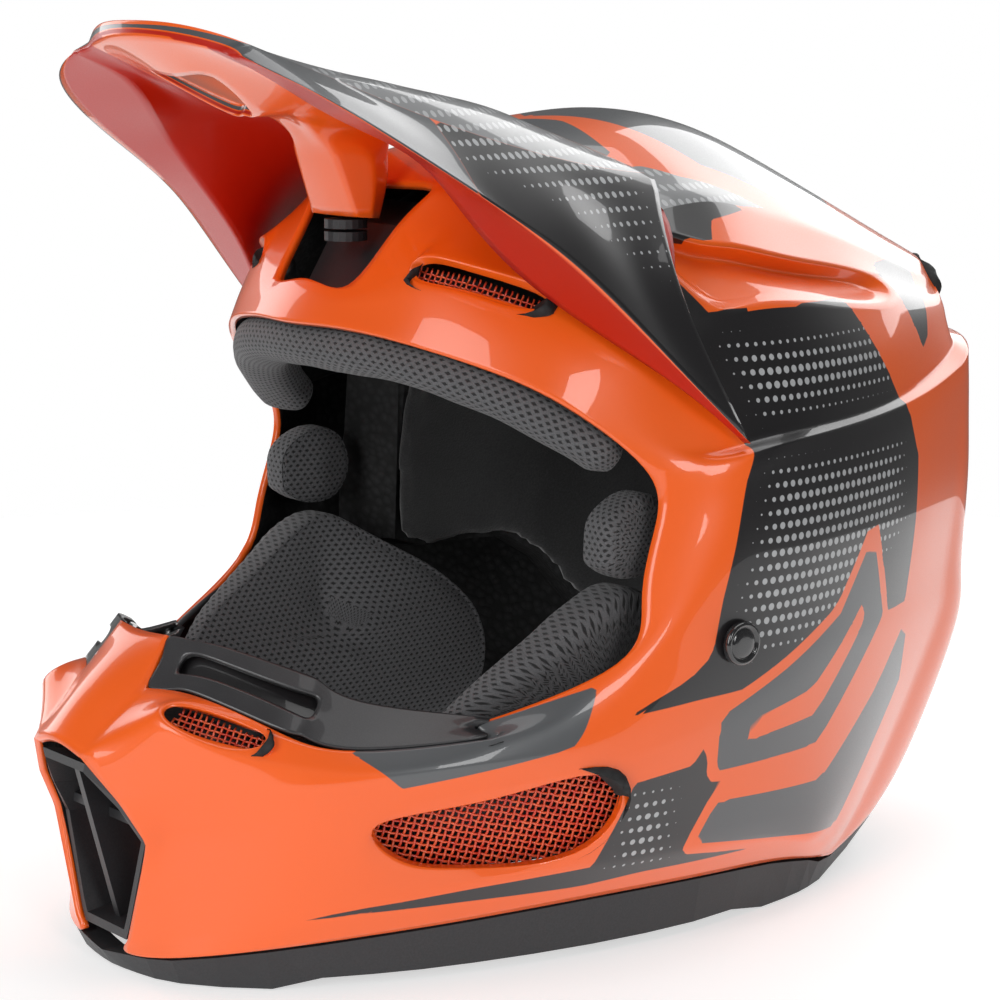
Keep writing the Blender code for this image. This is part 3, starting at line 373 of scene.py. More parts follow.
# ---------------------------------------------------------------- materials
class Finish:
    """A material, and short ways to wire its nodes."""

    def __init__(self, name):
        self.material = bpy.data.materials.new(name)
        self.material.use_nodes = True
        self.nodes = self.material.node_tree.nodes
        self.links = self.material.node_tree.links
        self.shader = self.nodes["Principled BSDF"]

    def put(self, socket, value):
        if isinstance(value, bpy.types.NodeSocket):
            self.links.new(value, socket)
        elif isinstance(value, tuple) and len(value) == 3 and socket.type == "RGBA":
            socket.default_value = (*value, 1)
        else:
            socket.default_value = value

    def set(self, **values):
        for name, value in values.items():
            self.put(self.shader.inputs[name.replace("_", " ").title().replace("Ior", "IOR")], value)
        return self

    def math(self, operation, *values, clamp=False):
        node = self.nodes.new("ShaderNodeMath")
        node.operation = operation
        node.use_clamp = clamp
        for socket, value in zip(node.inputs, values):
            self.put(socket, value)
        return node.outputs[0]

    def mix(self, share, a, b):
        node = self.nodes.new("ShaderNodeMix")
        node.data_type = "RGBA"
        self.put(node.inputs[0], share)
        self.put(node.inputs[6], a)
        self.put(node.inputs[7], b)
        return node.outputs[2]

    def field(self, name):
        node = self.nodes.new("ShaderNodeAttribute")
        node.attribute_name = name
        return node.outputs["Fac"]

    def edge(self, name, width=0.25):
        """0 outside and 1 inside a painted area whose distance is stored under a name."""
        return self.math("MULTIPLY_ADD", self.field(name), 1 / width, 0.5, clamp=True)

    def place(self, output="Object"):
        return self.nodes.new("ShaderNodeTexCoord").outputs[output]

    def split(self, vector):
        node = self.nodes.new("ShaderNodeSeparateXYZ")
        self.put(node.inputs[0], vector)
        return node.outputs

    def noise(self, scale, detail=2.0, vector=None, roughness=0.5):
        node = self.nodes.new("ShaderNodeTexNoise")
        node.inputs["Scale"].default_value = scale
        node.inputs["Detail"].default_value = detail
        node.inputs["Roughness"].default_value = roughness
        self.put(node.inputs["Vector"], vector or self.place())
        return node.outputs[0]

    def ramp(self, value, low, high, start=0.0, end=1.0):
        node = self.nodes.new("ShaderNodeMapRange")
        for socket, number in zip(node.inputs, (value, low, high, start, end)):
            self.put(socket, number)
        return node.outputs[0]

    def bump(self, height, distance, strength=1.0):
        node = self.nodes.new("ShaderNodeBump")
        node.inputs["Strength"].default_value = strength
        node.inputs["Distance"].default_value = distance
        self.put(node.inputs["Height"], height)
        self.put(self.shader.inputs["Normal"], node.outputs[0])
        return self

    def halftone(self, pitch_u, pitch_v, radius, strength):
        """1 inside the dots of a staggered grid in Y and Z, whose size follows strength."""
        place = self.split(self.place())
        u = self.math("DIVIDE", place[1], pitch_u * MM)
        v = self.math("DIVIDE", place[2], pitch_v * MM)
        row = self.math("FLOOR", v)
        shift = self.math("MULTIPLY", self.math("MODULO", row, 2.0), 0.5)
        du = self.math("SUBTRACT", self.math("FRACT", self.math("ADD", u, shift)), 0.5)
        dv = self.math("SUBTRACT", self.math("SUBTRACT", v, row), 0.5)
        du = self.math("MULTIPLY", du, pitch_u)
        dv = self.math("MULTIPLY", dv, pitch_v)
        squares = self.math("MULTIPLY", du, du), self.math("MULTIPLY", dv, dv)
        far = self.math("SQRT", self.math("ADD", *squares))
        size = self.math("MULTIPLY", strength, radius)
        return self.math("MULTIPLY", self.math("SUBTRACT", size, far), 6.0, clamp=True)


def lacquer():
    """Orange paint with black and grey graphics under a thick clear coat."""
    f = Finish("graphics_under_clear_coat")
    cloud = f.noise(9.0, 3.0)
    flake = f.noise(2600.0, 1.0)
    orange = f.mix(f.ramp(cloud, 0.3, 0.7, 0.0, 0.1), ORANGE, (0.85, 0.06, 0.003))
    # painted shade: on the peak's underside the orange is turned dark red and the clear coat thinned, standing in
    # for the shade under the peak
    deep = f.edge("deep", 8.0)
    orange = f.mix(deep, orange, SHADE_RED)
    black = f.mix(f.ramp(flake, 0.4, 0.7, 0.0, 0.3), BLACK, (0.016, 0.015, 0.017))
    dots = f.halftone(3.4, 4.3, 1.25, f.field("dots"))
    black = f.mix(dots, black, PALE)
    colour = f.mix(f.edge("black"), orange, black)
    colour = f.mix(f.edge("pale"), colour, f.mix(f.halftone(3.4, 4.3, 1.2, 0.9), (0.2, 0.205, 0.21), PALE))
    colour = f.mix(f.edge("grey"), colour, f.mix(f.ramp(cloud, 0.3, 0.7, 0.0, 0.5), GREY, (0.1, 0.105, 0.11)))
    f.set(base_color=colour, roughness=f.ramp(flake, 0.2, 0.8, 0.3, 0.42))
    f.set(coat_weight=f.ramp(deep, 0.0, 1.0, 0.75, 0.08), coat_roughness=0.03, coat_ior=1.45)
    return f.bump(f.noise(420.0, 1.0), 0.00002, 0.25).material


def moulding(name, colour, roughness, grain=1500.0, depth=0.00006, coat=0.0):
    """Moulded plastic or rubber: fine grain, faint scuffs and uneven gloss."""
    f = Finish(name)
    fine = f.noise(grain, 2.0)
    cloud = f.noise(25.0, 4.0)
    lighter = tuple(min(1.0, c * 1.6 + 0.004) for c in colour)
    f.set(base_color=f.mix(f.ramp(f.math("MULTIPLY", fine, cloud), 0.15, 0.4, 0.0, 0.6), colour, lighter))
    f.set(roughness=f.ramp(cloud, 0.3, 0.7, roughness - 0.08, roughness + 0.08), coat_weight=coat)
    return f.bump(fine, depth, 0.6).material


def spacer_mesh():
    """Knitted three-dimensional mesh: pale strands round dark cells, on the piece's own UV map in
    millimetres."""
    f = Finish("spacer_mesh_fabric")
    u, v, _ = f.split(f.place("UV"))
    row = f.math("FLOOR", f.math("DIVIDE", v, 1.7))
    shift = f.math("MULTIPLY", f.math("MODULO", row, 2.0), 0.5)
    du = f.math("SUBTRACT", f.math("FRACT", f.math("ADD", f.math("DIVIDE", u, 2.7), shift)), 0.5)
    dv = f.math("SUBTRACT", f.math("FRACT", f.math("DIVIDE", v, 1.7)), 0.5)
    far = f.math("ADD", f.math("MULTIPLY", f.math("ABSOLUTE", du), 1.15), f.math("ABSOLUTE", dv))
    cell = f.ramp(far, 0.26, 0.44)
    strand = f.noise(2200.0, 2.0)
    cloth = f.mix(strand, (0.055, 0.055, 0.058), (0.15, 0.15, 0.157))
    f.set(base_color=f.mix(cell, (0.012, 0.012, 0.013), cloth), roughness=0.85, sheen_weight=0.15,
          sheen_roughness=0.5)
    return f.bump(f.math("ADD", cell, f.math("MULTIPLY", strand, 0.25)), 0.0006, 0.9).material


def brushed_cloth():
    f = Finish("brushed_lining_cloth")
    nap = f.noise(1400.0, 3.0)
    cloud = f.noise(30.0, 3.0)
    f.set(base_color=f.mix(f.ramp(f.math("ADD", nap, cloud), 0.8, 1.3), SOFT_BLACK, (0.026, 0.026, 0.027)))
    f.set(roughness=0.95, sheen_weight=0.35, sheen_roughness=0.6)
    return f.bump(nap, 0.0003, 0.7).material


def bead_foam():
    f = Finish("expanded_bead_foam")
    beads = f.nodes.new("ShaderNodeTexVoronoi")
    beads.inputs["Scale"].default_value = 330.0
    f.put(beads.inputs["Vector"], f.place())
    height = f.ramp(beads.outputs["Distance"], 0.0, 0.7, 1.0, 0.0)
    f.set(base_color=f.mix(height, (0.006, 0.006, 0.006), (0.022, 0.022, 0.023)), roughness=0.75)
    return f.bump(height, 0.0004, 0.8).material


def webbing_cloth():
    """Woven webbing on the piece's own UV map: ribs across it and yarns along it."""
    f = Finish("woven_webbing")
    u, v, _ = f.split(f.place("UV"))
    rib = f.math("SINE", f.math("MULTIPLY", u, math.tau / 1.3))
    yarn = f.math("SINE", f.math("MULTIPLY", v, math.tau / 1.6))
    weave = f.ramp(f.math("MULTIPLY", rib, yarn), -1.0, 1.0)
    f.set(base_color=f.mix(weave, (0.01, 0.01, 0.01), (0.045, 0.045, 0.047)), roughness=0.8,
          sheen_weight=0.2)
    return f.bump(weave, 0.0004, 0.8).material


def steel():
    f = Finish("brushed_steel")
    streak = f.noise(900.0, 2.0)
    f.set(base_color=f.mix(streak, (0.45, 0.45, 0.46), (0.68, 0.68, 0.69)), metallic=1.0)
    f.set(roughness=f.ramp(streak, 0.2, 0.8, 0.2, 0.38))
    return f.bump(streak, 0.00003, 0.4).material


def wire_lacquer():
    f = Finish("red_wire_cloth")
    worn = f.noise(300.0, 3.0)
    f.set(base_color=f.mix(f.ramp(worn, 0.35, 0.75), (0.62, 0.035, 0.012), (0.9, 0.16, 0.05)),
          roughness=0.35)
    f.set(coat_weight=0.5, coat_roughness=0.15)
    return f.bump(worn, 0.00005, 0.5).material


# ---------------------------------------------------------------- outer shell
def shell_cage():
    cage = Cage()
    grid = {}
    for r, row in enumerate(SHELL_ROWS):
        for c, point in enumerate(row):
            if point is not None:
                grid[r, c] = cage.add(point)
    removed = {(r, 0) for r in range(4)} | {(r, c) for r in (6, 7, 8) for c in range(6)}
    removed |= {(4, 2), (1, 4), (1, 5), (11, 0), (12, 0), (11, 2), (11, 3), (11, 11), (11, 12)}
    removed |= {(5, c) for c in (1, 2, 3, 4)} | {(12, c) for c in (5, 6, 7, 8)}
    for r in range(len(SHELL_ROWS) - 1):
        for c in range(len(BASE_EDGE) - 1):
            if (r, c) not in removed:
                cage.faces.append([grid[r, c], grid[r, c + 1], grid[r + 1, c + 1], grid[r + 1, c]])
    chin_opening(cage, grid)
    side_opening(cage, grid)
    brow_opening(cage, grid)
    scoop(cage, grid)
    guard_seat(cage, grid)
    crown(cage, grid)
    shell_creases(cage, grid)
    return cage


def chin_opening(cage, grid):
    corners = [grid[4, 2], grid[4, 3], grid[5, 3], grid[5, 2]]
    cage.ring(corners, [(36.5, -171.5, 86), (54, -155, 79), (57, -149.5, 82), (36.5, -164, 90)], 0.8)


def side_opening(cage, grid):
    corners = [grid[1, 4], grid[1, 5], grid[1, 6], grid[2, 6], grid[2, 5], grid[2, 4]]
    rim = [(79.5, -117, 42.5), (86, -97, 38), (101.5, -60, 41), (110.5, -57, 66), (95.5, -93, 61),
           (78.5, -125, 55)]
    lip = cage.ring(corners, rim, 1.0)
    cage.ring(lip, [sunk(p, 4) for p in rim], 0.6)


def brow_opening(cage, grid):
    corners = [grid[11, 2], grid[11, 3], grid[11, 4], grid[12, 4], grid[12, 3], grid[12, 2]]
    hood = [(43, -83.5, 216.2), (58.5, -75.5, 213.2), (76, -61, 207.5), (79, -57, 214), (60, -72.5, 221),
            (44, -81, 223.5)]
    hole = [(44, -82, 216.5), (59, -74, 213.5), (75, -60.5, 208), (75.5, -58, 212), (58.5, -71, 218.5),
            (45, -78.5, 221)]
    cage.ring(cage.ring(corners, hood, 0.9), hole, 0.6)


def scoop(cage, grid):
    cage.faces.append([grid[12, 5], grid[12, 6], grid[13, 5]])
    rim = [grid[12, 6], grid[12, 7], grid[12, 8], grid[12, 9], grid[13, 9], grid[13, 8], grid[13, 7],
           grid[13, 6],
           grid[13, 5]]
    floor = [(98, -9, 211), (98.5, 9, 210.5), (95, 39, 208.5), (82, 76, 205), (78, 77, 208),
             (83, 41, 213.5),
             (86, 10, 219.5), (84.5, -6, 222), (84.5, -17, 224)]
    f = cage.ring(rim, floor, 0.5)
    cage.crease(rim + rim[:1], 1.0)
    cage.faces += [[f[0], f[1], f[6], f[7]], [f[1], f[2], f[5], f[6]], [f[2], f[3], f[4], f[5]],
                   [f[0], f[7], f[8]]]


def guard_sink(point, depth):
    inward = (Vector((ROOT_OF_GUARD[0] * point[0], ROOT_OF_GUARD[1],
                      ROOT_OF_GUARD[2])) - Vector(point)).normalized()
    return tuple(Vector(point) + inward * depth)


def guard_seat(cage, grid):
    """The ledge of the chin, sunk by the wall of the nose guard that lies in it."""
    # painted shade: the ledge's points take column 1, which shell_paint paints black for the shade inside the
    # guard's slots
    low = [cage.add(guard_sink(TRIM_EDGE[c], GUARD_SEAT), 1.0) for c in range(1, 6)]
    high = [cage.add(guard_sink(PORT_BOTTOM[c], GUARD_SEAT), 1.0) for c in range(1, 6)]
    for k in range(4):
        cage.faces.append([grid[5, k + 1], grid[5, k + 2], low[k + 1], low[k]])
        cage.faces.append([low[k], low[k + 1], high[k + 1], high[k]])
    cage.faces.append([grid[5, 1], low[0], high[0], grid[6, 1]])
    cage.faces.append([low[4], grid[5, 5], grid[6, 5], high[4]])
    cage.crease(low, 1.0)
    cage.crease([grid[5, c] for c in range(1, 6)], 1.0)
    cage.crease([low[0], high[0]], 1.0)
    cage.crease([low[4], high[4]], 1.0)
    cage.crease([low[4], grid[5, 5]], 1.0)
    cage.crease([low[0], grid[5, 1]], 1.0)


def crown(cage, grid):
    lanes = [[grid[14, 3], grid[14, 2], grid[14, 1], grid[14, 0]]]
    for k, points in enumerate(CROWN):
        lanes.append([grid[14, 4 + k]] + [cage.add(p) for p in points])
    lanes.append([grid[14, 10], grid[14, 11], grid[14, 12], grid[14, 13]])
    for a, b in zip(lanes, lanes[1:]):
        for j in range(3):
            cage.faces.append([a[j], b[j], b[j + 1], a[j + 1]])


def shell_creases(cage, grid):
    def line(row, first, last):
        return [grid[row, c] for c in range(first, last + 1)]
    cage.crease(line(1, 1, 9), 0.7)
    cage.crease(line(2, 1, 8), 0.9)
    cage.crease(line(3, 1, 4), 0.6)
    cage.crease(line(4, 2, 4), 0.4)
    cage.crease(line(9, 7, 12), 1.0)
    cage.crease(line(10, 6, 12), 0.8)
    cage.crease(line(14, 3, 12), 0.85)
    cage.crease(line(12, 4, 6), 0.3)
    cage.crease([grid[4, 1], grid[5, 1], grid[6, 1]], 1.0)
    cage.crease([grid[2, 2], grid[3, 2]], 0.3)
    cage.crease([grid[r, 10] for r in range(0, 10)], 0.9)


def shell_paint(mesh):
    x, y, z = in_mm(mesh)
    side = x - SIDE_OUT
    black = np.minimum(within(y, z, SIDE_BLACK), x - BLACK_OUT)
    black = np.maximum(black, np.minimum(within(y, z, REAR_WEDGE), x - PANELS_OUT))
    black = np.maximum(black, np.minimum(within(y, z, LOWER_PANEL), side))
    black = np.maximum(black, np.minimum(within(y, z, CHIN_WEDGE), x - PANELS_OUT))
    black = np.maximum(black, np.minimum(within(x, z, BACK_BLACK), y - BACK_FROM))
    blades = np.minimum(np.maximum(within(y, z, UPPER_BLADE), within(y, z, LOWER_BLADE)), side)
    slash = within(y, z, BLADE_SLASH)
    black = np.minimum(black, -(blades + BLADE_BORDER))
    top = np.maximum(within(x, y, CROWN_BLACK), within(x, y, CROWN_PATCH))
    top = np.minimum(top, z - CROWN_UP)
    grey = np.maximum(np.minimum(blades, -slash), np.minimum(within(y, z, JAW_PANEL), side))
    grey = np.maximum(grey, top)
    pale = np.minimum(within(x, y, RIDGE_BAND), z - CROWN_UP)
    dots = np.zeros(len(x))
    for outline in SIDE_DOTS:
        dots = np.maximum(dots, np.clip(within(y, z, outline) / DOT_FADE, 0, 1) * (x > DOTS_OUT))
    column = np.empty(len(mesh.vertices), np.float32)
    mesh.attributes["column"].data.foreach_get("value", column)
    # painted shade: the ledge under the nose guard is painted black, standing in for the shade seen through the
    # guard's slots
    black = np.maximum(black, (column - LEDGE_SHADE_SHARE) * LEDGE_SHADE_SLOPE)
    scoop_depth = np.minimum(within(y, z, SCOOP_INSIDE), x - SCOOP_OUT)
    # the shell gets no painted shade
    store(mesh, black=np.where(scoop_depth > 0, -5, black), grey=grey, pale=pale, dots=np.sqrt(dots),
          deep=np.full(len(x), -9.0))


def outer_shell(paint, inside):
    obj = shell_cage().object("shell", SHELL_WALL, FINE, paint, inside)
    shell_paint(obj.data)
    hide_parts("outer_shell")
    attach(obj, "shell")
    return obj


# ---------------------------------------------------------------- peak
def visor_cage():
    cage = Cage()
    rows = [[cage.add(p, i) for i, p in enumerate(station)] for station in VISOR]
    last = len(VISOR[0]) - 1
    for k, (a, b) in enumerate(zip(rows, rows[1:])):
        for i in range(last):
            hole = k == 1 and i in (0, last - 1)
            strut = k in (3, 4) and i == last - 1
            if not hole and not strut:
                cage.faces.append([a[i], a[i + 1], b[i + 1], b[i]][::-1])
    front, back = rows[0], rows[-1]
    for i in range(4):
        cage.faces.append([front[i], front[i + 1], front[last - 1 - i], front[last - i]])
        cage.faces.append([back[last - i], back[last - 1 - i], back[i + 1], back[i]])
    cage.faces.append([front[4], front[5], front[6]])
    cage.faces.append([back[6], back[5], back[4]])
    f, b = rows[1], rows[2]
    cage.faces.append([f[0], f[1], f[last - 1], f[last]][::-1])
    cage.faces.append([f[1], b[1], b[last - 1], f[last - 1]][::-1])
    cage.faces.append([b[1], b[0], b[last], b[last - 1]][::-1])
    strut_faces(cage, rows)
    for column, weight in ((3, 0.8), (5, 1.0), (6, 1.0)):
        cage.crease([row[column] for row in rows], weight)
    cage.crease([f[0], f[1], b[1], b[0]], 0.8)
    cage.crease([f[last], f[last - 1], b[last - 1], b[last]], 0.8)
    cage.crease(front[:6], 0.7)
    cage.crease(front[6:], 0.6)
    cage.crease(back, 1.0)
    return cage


def strut_faces(cage, rows):
    top = [rows[3][-1], rows[3][-2], rows[4][-2], rows[5][-2], rows[5][-1]]
    mid = [cage.add(p, 12) for p in VISOR_STRUT[0]]
    low = [cage.add(p, 13) for p in VISOR_STRUT[1]]
    foot = cage.add(STRUT_FOOT, 13)
    for upper, lower in ((top, mid), (mid, low)):
        for i in range(4):
            cage.faces.append([lower[i], lower[i + 1], upper[i + 1], upper[i]])
    cage.faces.append([low[0], foot, low[2], low[1]])
    cage.faces.append([foot, low[4], low[3], low[2]])
    cage.crease(low, 1.0)
    cage.crease(mid[:3], 0.8)
    for i in (1, 2, 3):
        cage.crease([mid[i], low[i]], 0.9)


def visor_paint(mesh):
    """Column 0 is the centre of the top, 2 the ridge, 3 the crease, 5 the rim, 6 to 10 the underside."""
    x, y, z = in_mm(mesh)
    column = np.empty(len(mesh.vertices), np.float32)
    mesh.attributes["column"].data.foreach_get("value", column)
    scale = 14.0
    outer = np.minimum(column - 2.9, 5.02 - column) * scale
    front = np.clip((-96 - y) / 18, -1, 1) * 8
    grey = np.minimum(outer, front)
    black = np.minimum(outer, -front)
    pale = np.minimum(np.minimum(column - 1.95, 2.9 - column) * scale, y + 142)
    bits = np.minimum(within(x, y, [(24, -78), (34, -92), (44, -70), (30, -58)]), (1.9 - column) * scale)
    black = np.maximum(black, bits)
    dots = np.clip((y + 112) / 22, 0, 1) * np.clip((4.0 - column) / 1.1, 0, 1) * np.clip((-22 - y) / 14, 0, 1)
    # painted shade: the underside, columns 5.05 to 8, is marked for the dark red of shade
    deep = np.where((column > 5.05) & (column < 8), 6.0, -9.0)
    store(mesh, black=black, grey=grey, pale=pale, dots=np.sqrt(np.clip(dots, 0, 1)), deep=deep)


def peak(paint):
    obj = visor_cage().object("peak", 0, FINE, paint)
    visor_paint(obj.data)
    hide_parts("visor")
    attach(obj, "visor")
    return obj


# ---------------------------------------------------------------- swept pieces
def smooth_path(points, per_span=4):
    """Points along a smooth curve through the given ones (Catmull-Rom)."""
    p = [Vector(q) for q in points]
    p = [2 * p[0] - p[1]] + p + [2 * p[-1] - p[-2]]
    made = []
    for a, b, c, d in zip(p, p[1:], p[2:], p[3:]):
        for k in range(per_span):
            t = k / per_span
            made.append(0.5 * (2 * b + (c - a) * t + (2 * a - 5 * b + 4 * c - d) * t * t
                               + (3 * b - a - 3 * c + d) * t ** 3))
    made.append(p[-2])
    return made


def swept(name, sections, material, closed=False, caps=True):
    """A skin through equal loops of points in millimetres, with a UV map in millimetres: along, then
    around."""
    mesh = bpy.data.meshes.new(name)
    count = len(sections[0])
    points = [metres(p) for section in sections for p in section]
    faces = []
    rows = len(sections)
    for r in range(rows if closed else rows - 1):
        for i in range(count):
            j = (i + 1) % count
            s = (r + 1) % rows
            faces.append((r * count + i, r * count + j, s * count + j, s * count + i))
    if caps and not closed:
        faces.append(tuple(range(count)))
        faces.append(tuple((rows - 1) * count + i for i in reversed(range(count))))
    mesh.from_pydata(points, [], faces)
    along, around = [0.0], [0.0]
    for a, b in zip(sections, sections[1:] + sections[:1]):
        along.append(along[-1] + (Vector(b[0]) - Vector(a[0])).length)
    widest = sections[rows // 2]
    for a, b in zip(widest, widest[1:] + widest[:1]):
        around.append(around[-1] + (Vector(b) - Vector(a)).length)
    uv = mesh.uv_layers.new(name="UVMap")
    for face in mesh.polygons:
        corners = [mesh.loops[k].vertex_index for k in face.loop_indices]
        r0 = min(c // count for c in corners)
        for k, c in zip(face.loop_indices, corners):
            r, i = divmod(c, count)
            wrap_r = rows if closed and r == 0 and max(q // count for q in corners) == rows - 1 else r
            wrap_i = count if i == 0 and max(q % count for q in corners) == count - 1 else i
            uv.data[k].uv = (along[wrap_r], around[wrap_i])
    outward(mesh)
    mesh.shade_smooth()
    return link(name, mesh, material)


def tubes(name, paths, radius, material, sides=6):
    """Many round wires as one piece."""
    points, faces = [], []
    for path in paths:
        start = len(points)
        for i, p in enumerate(path):
            ahead = (path[min(i + 1, len(path) - 1)] - path[max(i - 1, 0)]).normalized()
            across = ahead.orthogonal().normalized()
            other = ahead.cross(across)
            for k in range(sides):
                t = math.tau * k / sides
                points.append(p + (across * math.cos(t) + other * math.sin(t)) * radius)
        for i in range(len(path) - 1):
            for k in range(sides):
                j = (k + 1) % sides
                a, b = start + i * sides, start + (i + 1) * sides
                faces.append((a + k, a + j, b + j, b + k))
        faces.append(tuple(start + k for k in reversed(range(sides))))
        faces.append(tuple(start + (len(path) - 1) * sides + k for k in range(sides)))
    mesh = bpy.data.meshes.new(name)
    mesh.from_pydata([metres(p) for p in points], [], faces)
    mesh.shade_smooth()
    return link(name, mesh, material)


# ---------------------------------------------------------------- grilles
def backing(name, corners, depth, overlap, material):
    """The dark wall of the duct behind a grille."""
    front = [Vector(p) for p in corners]
    middle = sum(front, Vector()) / len(front)
    normal = Vector()
    for a, b in zip(front, front[1:] + front[:1]):
        normal += (a - middle).cross(b - middle)
    normal.normalize()
    loops = [[middle + (p - middle) * share - normal * d for p in front]
             for d, share in ((depth, overlap), (depth + 3, overlap * 0.97), (depth + 4, overlap * 0.85))]
    obj = swept(name, loops, material)
    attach(obj, "shell")


def clip_line(outline, u, axis):
    """Where a line across a convex-ish outline enters and leaves it."""
    cuts = []
    for a, b in zip(outline, outline[1:] + outline[:1]):
        if (a[axis] > u) != (b[axis] > u):
            share = (u - a[axis]) / (b[axis] - a[axis])
            cuts.append(a[1 - axis] + (b[1 - axis] - a[1 - axis]) * share)
    return (min(cuts), max(cuts)) if len(cuts) > 1 else None


def wire_cloth(name, corners, depth, material, pitch, wire, overlap):
    """Plain-woven wire cloth over an outline, set back behind it by a depth."""
    front = [Vector(p) for p in corners]
    middle = sum(front, Vector()) / len(front)
    front = [middle + (p - middle) * overlap for p in front]
    normal = Vector()
    for a, b in zip(front, front[1:] + front[:1]):
        normal += (a - middle).cross(b - middle)
    normal.normalize()
    across = (front[1] - front[0] - normal * (front[1] - front[0]).dot(normal)).normalized()
    upward = normal.cross(across)
    flat = [((p - middle).dot(across), (p - middle).dot(upward)) for p in front]
    heights = [(p - middle).dot(normal) for p in front]

    def lift(u, v):
        total, weight = 0.0, 0.0
        for (a, b), h in zip(flat, heights):
            w = 1 / ((a - u) ** 2 + (b - v) ** 2 + 4.0)
            total += w * h
            weight += w
        return total / weight

    paths = []
    for axis in (0, 1):
        low = min(p[axis] for p in flat)
        high = max(p[axis] for p in flat)
        for k in range(1, int((high - low) / pitch)):
            u = low + k * pitch
            ends = clip_line(flat, u, axis)
            if ends is None or ends[1] - ends[0] < pitch:
                continue
            steps = max(2, int((ends[1] - ends[0]) / (pitch / 2)))
            path = []
            for i in range(steps + 1):
                w = ends[0] + (ends[1] - ends[0]) * i / steps
                a, b = (u, w) if axis == 0 else (w, u)
                wave = math.cos(math.pi * (w / pitch + k + axis)) * wire * 0.9
                path.append(middle + across * a + upward * b + normal * (lift(a, b) - depth + wave))
            paths.append(path)
    return tubes(name, paths, wire, material, 5)


DUCT_OVERLAP = 1.36     # clear of the strap when it swings forward


def grilles(material, wall):
    outlines = {
        "chin_mesh": ([(37.5, -169.5, 86), (53.5, -154.5, 79.5), (56, -150, 82), (37.5, -163, 89.5)], 4.6,
                      1.9, 1.35),
        "side_mesh": ([(80, -114, 41), (86, -96, 36), (99.5, -62, 38), (107.5, -59, 64), (94, -92, 59.5),
                       (79.5, -121, 53.5)], 7.0, 2.2, 1.5),
        "brow_mesh": ([(46, -81, 217), (59, -73.5, 214), (74, -61, 208.5), (74.5, -58.5, 211.5),
                       (58, -71, 218),
                       (46.5, -78.5, 220.5)], 4.5, 1.8, 1.3)}
    for name, (outline, depth, pitch, overlap) in outlines.items():
        for suffix, corners in (("_left", outline), ("_right", [mirror(p) for p in reversed(outline)])):
            obj = wire_cloth(name + "_wire" + suffix, corners, depth, material, pitch, pitch * 0.2, overlap)
            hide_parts(name + suffix)
            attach(obj, "shell")
            back = name.replace("mesh", "duct") + suffix
            backing(back, corners, depth + 2.5, min(overlap, DUCT_OVERLAP), wall)


# ---------------------------------------------------------------- scene
def carried_over(materials):
    """CAD nodes that keep their shape and get a finished material."""
    for names, material in materials:
        for name in names:
            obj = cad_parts[name]
            obj.data.materials.clear()
            obj.data.materials.append(material)


# ---------------------------------------------------------------- nose guard
GUARD_STOPS = [(1, 0.0), (1, 0.45), (2, 0.0), (3, 0.0), (3, 0.35), (4, 0.0), (5, 0.0)]
GUARD_HEIGHTS = [0.04, 0.38, 0.72, 1.0]
GUARD_END = (0.02, 0.05)


def nose_guard(material):
    """The soft moulding over the chin's ledge, with one slot on each side of the tongue."""
    cage = Cage()
    grid = {}
    for i, (c, share) in enumerate(GUARD_STOPS):
        last = min(c + 1, 5)
        low = mix(TRIM_EDGE[c], TRIM_EDGE[last], share)
        high = mix(PORT_BOTTOM[c], PORT_BOTTOM[last], share)
        for j, h in enumerate(GUARD_HEIGHTS):
            point = mix(low, high, h)
            middle = mix(TRIM_EDGE[3], PORT_BOTTOM[3], h)
            if i == 0:
                point = mix(point, middle, GUARD_END[0])
            elif i == len(GUARD_STOPS) - 1:
                point = mix(point, middle, GUARD_END[1])
            grid[i, j] = cage.add(point)
    for i in range(len(GUARD_STOPS) - 1):
        for j in range(3):
            if not (j == 1 and 1 <= i <= 3):
                cage.faces.append([grid[i, j], grid[i + 1, j], grid[i + 1, j + 1], grid[i, j + 1]])
    for j in (1, 2):
        cage.crease([grid[i, j] for i in range(1, 5)], 0.8)
    for i in (1, 4):
        cage.crease([grid[i, 1], grid[i, 2]], 0.8)
    obj = cage.object("nose_guard_moulding", 2.2, FINE, material)
    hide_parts("nose_guard_left", "nose_guard_right")
    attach(obj, "shell")


# ---------------------------------------------------------------- soft parts
def rounded_section(centre, wide, high, across, up, power=2.6, count=20):
    """A pad's cross-section: a superellipse, fuller than an oval."""
    loop = []
    for k in range(count):
        t = math.tau * k / count
        c, s = math.cos(t), math.sin(t)
        a = math.copysign(abs(c) ** (2 / power), c) * wide
        b = math.copysign(abs(s) ** (2 / power), s) * high
        loop.append(tuple(centre + across * a + up * b))
    return loop


def soft_noise(obj, size, depth):
    """Small uneven fullness along the normals, as stuffing gives."""
    mesh = obj.data
    moved = [v.co + v.normal * noise.noise(v.co / (size * MM)) * depth * MM for v in mesh.vertices]
    for v, co in zip(mesh.vertices, moved):
        v.co = co


def brow_pad(material):
    line = [(0, -90, 192.5), (19, -88, 192), (37, -83, 190), (54, -75.5, 186), (70, -64, 179),
            (82, -51, 169.5),
            (89, -39, 160)]
    path = smooth_path([mirror(p) for p in reversed(line[1:])] + line, 8)
    sections = []
    for i, p in enumerate(path):
        ahead = (path[min(i + 1, len(path) - 1)] - path[max(i - 1, 0)]).normalized()
        back = Vector((-p.x * 0.8, 60, -20))
        inward = (back - ahead * back.dot(ahead)).normalized()
        end = min(i, len(path) - 1 - i)
        full = min(1.0, 0.55 + 0.15 * end)
        sections.append(rounded_section(p, 10.5 * full, 7.5 * full, inward, ahead.cross(inward)))
    obj = swept("brow_pad_cover", sections, material)
    soft_noise(obj, 16, 0.7)
    finish_soft(obj, "brow_pad")


def finish_soft(obj, *nodes, body="shell"):
    subdivided(obj, 1)
    applied(obj)
    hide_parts(*nodes)
    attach(obj, body)


